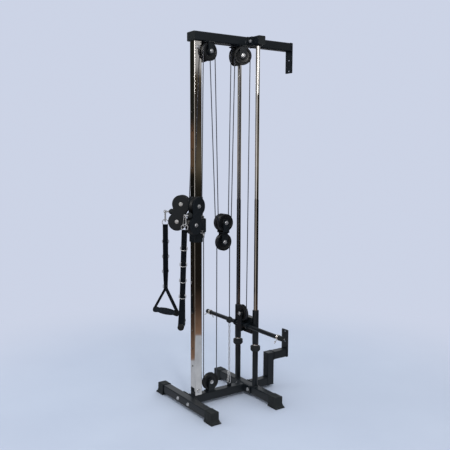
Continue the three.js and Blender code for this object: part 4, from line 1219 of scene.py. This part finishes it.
def carabiner(label):
    """A snap hook: pear-shaped wire with a sprung gate, through the ball's eye."""
    hang, across, down, _, _ = handle_frames(label)
    body = f"handle_{label}"
    place = facing(hang, across.cross(down), -down)
    wide, narrow, wire = 9.6, 7.2, 2.6
    long = 45.0
    path = arc(narrow, 0, 180, 14, (0, -4.6))
    path += [(-narrow - (wide - narrow) * t, -4.6 - long * t) for t in (0.25, 0.5, 0.75)]
    path += arc(wide, 180, 360, 18, (0, -4.6 - long))
    path += [(narrow + (wide - narrow) * t, -4.6 - long * t) for t in (0.97, 0.93)]
    body_path = [(x, y, 0) for x, y in path]
    Shape().sweep(body_path, wire, 14, place=place).build(
        f"snap_body_{label}", "zinc", body, replaces=(f"carabiner_{label}",))
    gate = [(narrow + (wide - narrow) * t, -4.6 - long * t, 0) for t in (0.92, 0.6, 0.3, -0.02)]
    Shape().sweep(gate, [2.0, 2.1, 2.1, 2.1], 14, place=place).build(f"snap_gate_{label}", "zinc",
                                                                     body)
    Shape().sweep([gate[3], (narrow, -4.6 + 3.4, 0)], 3.0, 16, place=place).build(
        f"snap_hinge_{label}", "zinc", body, 0.4)


def top_ring(label):
    """The round ring between the carabiner and the strap."""
    place = strap_frame(label, 65)
    half_width, half_height = 18.0, 17.5
    path = [(half_width * x, 0, half_height * z + 1.2) for x, z in circle(1, 40)]
    Shape().sweep(path, 2.1, 12, True, place).build(f"round_ring_{label}", "zinc",
                                                   f"handle_{label}",
                                                   replaces=(f"handle_ring_{label}",))


def cable_end(label):
    """The rubber stop ball with its steel ferrule and eye."""
    body = f"cable_end_{label}"
    hang, across, _, _, _ = handle_frames(label)
    pull = Vector(JOINTS[f"handle_{label}_pull"]["axis"])
    centre = hang - pull * 39
    ball = [(3.2, -17), *arc(17, -78, -6, 12), (17.25, -1), (17.25, 1), *arc(17, 6, 78, 12),
            (3.2, 17)]
    Shape().lathe(ball, facing(centre, pull), 48, True).build(
        f"rubber_ball_{label}", "rubber", body, smooth=40, replaces=(f"stop_ball_{label}",))
    ferrule = [(0, 15), (5.6, 15), (5.6, 21), (4.2, 22.5), (4.2, 29.6), (0, 29.6)]
    Shape().lathe(ferrule, facing(centre, pull), 32).build(f"eye_ferrule_{label}", "zinc", body,
                                                           0.4)
    eye = [(x, y, 0) for x, y in circle(8, 32)]
    Shape().sweep(eye, 2.0, 12, True, facing(hang, across)).build(f"cable_eye_{label}", "zinc",
                                                                 body)


# ------------------------------------------------------------------ carriage
def carriage():
    body = "carriage"
    low, high = box("carriage_frame")
    for label, side in SIDES:
        x = middle(f"guide_rod_{label}").x
        place = Matrix.Translation((x, ROD_Y, 0))
        sleeve = Shape().lathe([(13.1, low.z + 11), (19, low.z + 11), (19, high.z - 0.4),
                                (13.1, high.z - 0.4)], place, 56, True)
        made = sleeve.build(f"carriage_sleeve_{label}", "frame_black", body, 0.7)
        if side < 0:
            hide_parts("carriage_frame")
        for name, z0, z1, radius in (("low", low.z, low.z + 11, 17.0),
                                     ("high", high.z - 0.4, high.z + 1.6, 17.4)):
            look = "chrome" if name == "low" else "nylon"
            bush = Shape().lathe([(13.1, z0), (radius, z0), (radius, z1), (13.1, z1)], place, 48,
                                 True)
            bush.build(f"carriage_bush_{name}_{label}", look, body, 0.6)
    front, back = ROD_Y - 18, ROD_Y + 18
    box_low, box_high, half = 388, 487, 73.5
    cross = Shape().block((-half, front, box_low), (half, back, box_high))
    weighted(cross.build("carriage_cross", "frame_black", body, 2.5, segments=3))
    centre, axis = pivot("carriage_pulley_spin")
    strip_pair("carriage_strip", centre, axis, PULLEY_HALF + 2, centre.z - 401, body)
    axle("carriage_axle", centre, axis, PULLEY_HALF + 7, body)
    web = Shape().block((-21, centre.y - 19, 400), (21, front + 1, 406))
    weighted(web.build("carriage_web", "frame_black", body, 0.8))
    bar_z = middle("loading_bar").z
    for label, side in SIDES:
        outline = arc(20, 90, 270, 16) + [(front - centre.y + 1, -20), (front - centre.y + 1, 20)]
        shape = Shape().prism(outline, -5, 5,
                              Matrix.Translation((side * 62, centre.y, bar_z))
                              @ Matrix(((0, 0, 1, 0), (1, 0, 0, 0), (0, 1, 0, 0), (0, 0, 0, 1))))
        weighted(shape.build(f"bar_lug_{label}", "frame_black", body, 1.0))
    loading_bar(Vector((0, centre.y, bar_z)), body)


def loading_bar(centre, body):
    half = box("loading_bar")[1].x
    place = facing(centre, X)
    Shape().lathe([(0, -half + 10), (12.5, -half + 10), (12.5, half - 10), (0, half - 10)], place,
                  56).build("bar_tube", "frame_black", body, replaces=("loading_bar",))
    for label, side in SIDES:
        cap = facing(centre + X * side * (half - 23), X * side)
        Shape().lathe([(12.6, 0), (14.2, 0), (14.5, 1), (14.5, 19.5), (13.6, 22), (11, 23), (0, 23),
                       (0, 17), (12.6, 17)], cap, 48).build(f"bar_cap_{label}", "rubber", body)
        ring = facing(Vector((middle(f"spring_collar_{label}").x, centre.y, centre.z)), X * side)
        spring_collar(label, ring)


def spring_collar(label, place):
    """A wound clip: coils of wire gripping the bar, with two squeeze handles hanging below."""
    body = f"collar_{label}"
    wire, radius, turns, pitch = 1.9, 14.7, 4.25, 4.2
    down = place.to_3x3().inverted() @ -Z
    start = math.degrees(math.atan2(down.y, down.x))
    steps = 110
    coil = []
    for i in range(steps + 1):
        angle = math.radians(start - 22 + 360 * turns * i / steps)
        coil.append(Vector((radius * math.cos(angle), radius * math.sin(angle),
                            pitch * turns * (i / steps - 0.5))))
    for path, way in ((coil[0], -1), (coil[-1], 1)):
        out = Vector((path.x, path.y, 0)).normalized()
        handle = [path + out * d + Vector((0, 0, way * w)) for d, w in
                  ((6, 0.8), (15, 1.8), (21, 2.6), (24, 4.4), (21, 6.6), (15, 7.2), (9, 7.0))]
        coil = (list(reversed(handle)) + coil) if way < 0 else coil + handle
    Shape().sweep(coil, wire, 10, place=place).build(
        f"collar_wire_{label}", "chrome", body, replaces=(f"spring_collar_{label}",))


# ------------------------------------------------------------------ cables
def wrap(centre, direction, start, end):
    """Points on a pulley's pitch circle in the plane of a level direction and +Z."""
    steps = max(6, round(abs(end - start) / 7.5))
    direction = Vector((direction.x, direction.y, 0)).normalized()
    return [centre + direction * PITCH * math.cos(a) + Z * PITCH * math.sin(a)
            for a in (math.radians(start + (end - start) * i / steps) for i in range(steps + 1))]


def turned_piece(name, points, body, replaces=()):
    """A stretch of cable on a pulley, which moves with one body."""
    return Shape().sweep(points, CABLE, 12).build(name, "cable_grey", body, smooth=60,
                                                  replaces=replaces)


def straight_run(name, a, b):
    """A taut stretch between two bodies that slide apart, drawn straight and set on no body."""
    steps = max(8, round((b - a).length / 12))
    path = [a.lerp(b, i / steps) for i in range(steps + 1)]
    obj = Shape().sweep(path, CABLE, 12).build(name, "cable_grey", None, smooth=60)
    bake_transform(obj)


def main_cable(label):
    front, front_axis = pivot(f"front_top_pulley_{label}_spin")
    rear, rear_axis = pivot(f"rear_top_pulley_{label}_spin")
    block, _ = pivot(f"block_pulley_{label}_spin")
    head, _ = pivot(f"head_pulley_upper_{label}_spin")
    pull = Vector(JOINTS[f"handle_{label}_pull"]["axis"])
    over_front, over_rear = Z.cross(front_axis), Z.cross(rear_axis)
    head_wrap = wrap(head, pull, 270, 180)
    front_wrap = wrap(front, over_front, 180, 0)
    block_wrap = wrap(block, Y, 180, 360)
    rear_wrap = wrap(rear, over_rear, 180, 0)
    ball = pivot(f"handle_{label}_swing")[0] - pull * 55
    side = {"left": 180, "right": 0}[label]
    carriage_pulley, _ = pivot("carriage_pulley_spin")
    under = wrap(carriage_pulley, X, side, 270 if label == "left" else -90)
    name = f"cable_{label}"
    straight_run(f"{name}_to_ball", head_wrap[0], ball)
    turned_piece(f"{name}_on_head", head_wrap, f"head_{label}",
                 ("main_cable",) if label == "left" else ())
    straight_run(f"{name}_rise", head_wrap[-1], front_wrap[0])
    turned_piece(f"{name}_on_front", front_wrap, "frame")
    straight_run(f"{name}_to_block", front_wrap[-1], block_wrap[0])
    turned_piece(f"{name}_on_block", block_wrap, "block")
    straight_run(f"{name}_from_block", block_wrap[-1], rear_wrap[0])
    turned_piece(f"{name}_on_rear", rear_wrap, "frame")
    straight_run(f"{name}_to_carriage", rear_wrap[-1], under[0])
    turned_piece(f"{name}_on_carriage", under, "carriage")


def lower_cable():
    base_centre, _ = pivot("base_pulley_spin")
    block, _ = pivot("block_pulley_lower_spin")
    ball_low, ball_high = box("lower_stop_ball")
    base_wrap = wrap(base_centre, Y, 180, 360)
    block_wrap = wrap(block, Y, 180, 0)
    end = Vector((0, (ball_low.y + ball_high.y) / 2, ball_high.z - 2))
    straight_run("lower_cable_drop", CABLE_EYE, base_wrap[0])
    turned_piece("lower_cable_on_base", base_wrap, "frame", ("lower_cable",))
    straight_run("lower_cable_to_block", base_wrap[-1], block_wrap[0])
    turned_piece("lower_cable_on_block", block_wrap, "block")
    straight_run("lower_cable_to_ball", block_wrap[-1], end)


# ------------------------------------------------------------------ chain
def chain_link(length, width, wire):
    """The middle line of an oval link that stands in the local XZ plane."""
    radius = width / 2 - wire
    straight = length / 2 - width / 2
    upper = [(x, 0, z) for x, z in arc(radius, 0, 180, 10, (0, straight))]
    lower = [(x, 0, z) for x, z in arc(radius, 180, 360, 10, (0, -straight))]
    return upper + lower


def chain_run(name, start, direction, count, turn, replaces=()):
    """Links from a start along a direction, each a quarter turn on from the one before."""
    length, width, wire = 25.0, 13.5, 1.9
    direction = Vector(direction).normalized()
    upright = (-direction).to_track_quat("Z", "Y").to_matrix().to_4x4()
    for i in range(count):
        centre = start + direction * ((length - 2 * wire) * i + length / 2 - wire)
        quarter = Matrix.Rotation(math.radians(turn + 90 * (i % 2)), 4, "Z")
        Shape().sweep(chain_link(length, width, wire), wire, 10, True,
                      Matrix.Translation(centre) @ upright @ quarter).build(
            f"{name}_{i + 1}", "zinc", "frame", replaces=() if i else replaces)


def anchor_chain():
    low, high = box("chain")
    centre = middle("chain")
    start = Vector((centre.x, centre.y, high.z - 1))
    count = int((high.z - low.z) / 21) + 1
    chain_run("chain_link", start, -Z, count, 20, ("chain",))
    tail = Vector((centre.x + 4, centre.y - 7, low.z + 8))
    chain_run("chain_tail", tail, Vector((0.16, -0.22, -1)), 3, 50)
    ball = middle("lower_stop_ball")
    profile = [(3.2, -20), *arc(20, -80, 80, 20), (3.2, 20)]
    Shape().lathe(profile, Matrix.Translation(ball), 48, True).build(
        "chain_ball", "rubber", "frame", smooth=40, replaces=("lower_stop_ball",))
    snap(middle("snap_hook"), box("snap_hook"))


def snap(centre, limits):
    """The sprung hook that clips the chain to its tab."""
    low, high = limits[0].z, limits[1].z
    place = facing(Vector((centre.x, centre.y, high)), Y)
    long = high - low
    path = [(x, y, 0) for x, y in arc(7.5, -20, 200, 16, (0, -10.5))]
    path += [(-9.2, -26, 0), (-11, -40, 0), (-12, -50, 0)]
    path += [(x, y, 0) for x, y in arc(12, 180, 330, 16, (0, -long + 15))]
    Shape().sweep(path, 2.9, 14, place=place).build("hook_body", "zinc", "frame",
                                                   replaces=("snap_hook",))
    gate = [(7, -13.5, 0), (8.6, -30, 0), (10.6, -long + 21, 0)]
    Shape().sweep(gate, 2.2, 12, place=place).build("hook_gate", "zinc", "frame")
    barrel = [(0, -2), (5, -2), (5, 4), (3, 5.5), (0, 5.5)]
    Shape().lathe(barrel, Matrix.Translation((centre.x, centre.y, high - 4)), 28).build(
        "hook_swivel", "zinc", "frame", 0.4)


# ------------------------------------------------------------------ the whole scene
camera()
world()
stage()
lights()
column()
base()
top()
wall_brace()
guide_rods()
pulleys()
top_hangers()
base_bracket()
floating_block()
trolley()
carriage()
for which, _ in SIDES:
    swivel_head(which)
    cable_end(which)
    carabiner(which)
    top_ring(which)
    strap(which)
    grip(which)
    main_cable(which)
lower_cable()
anchor_chain()
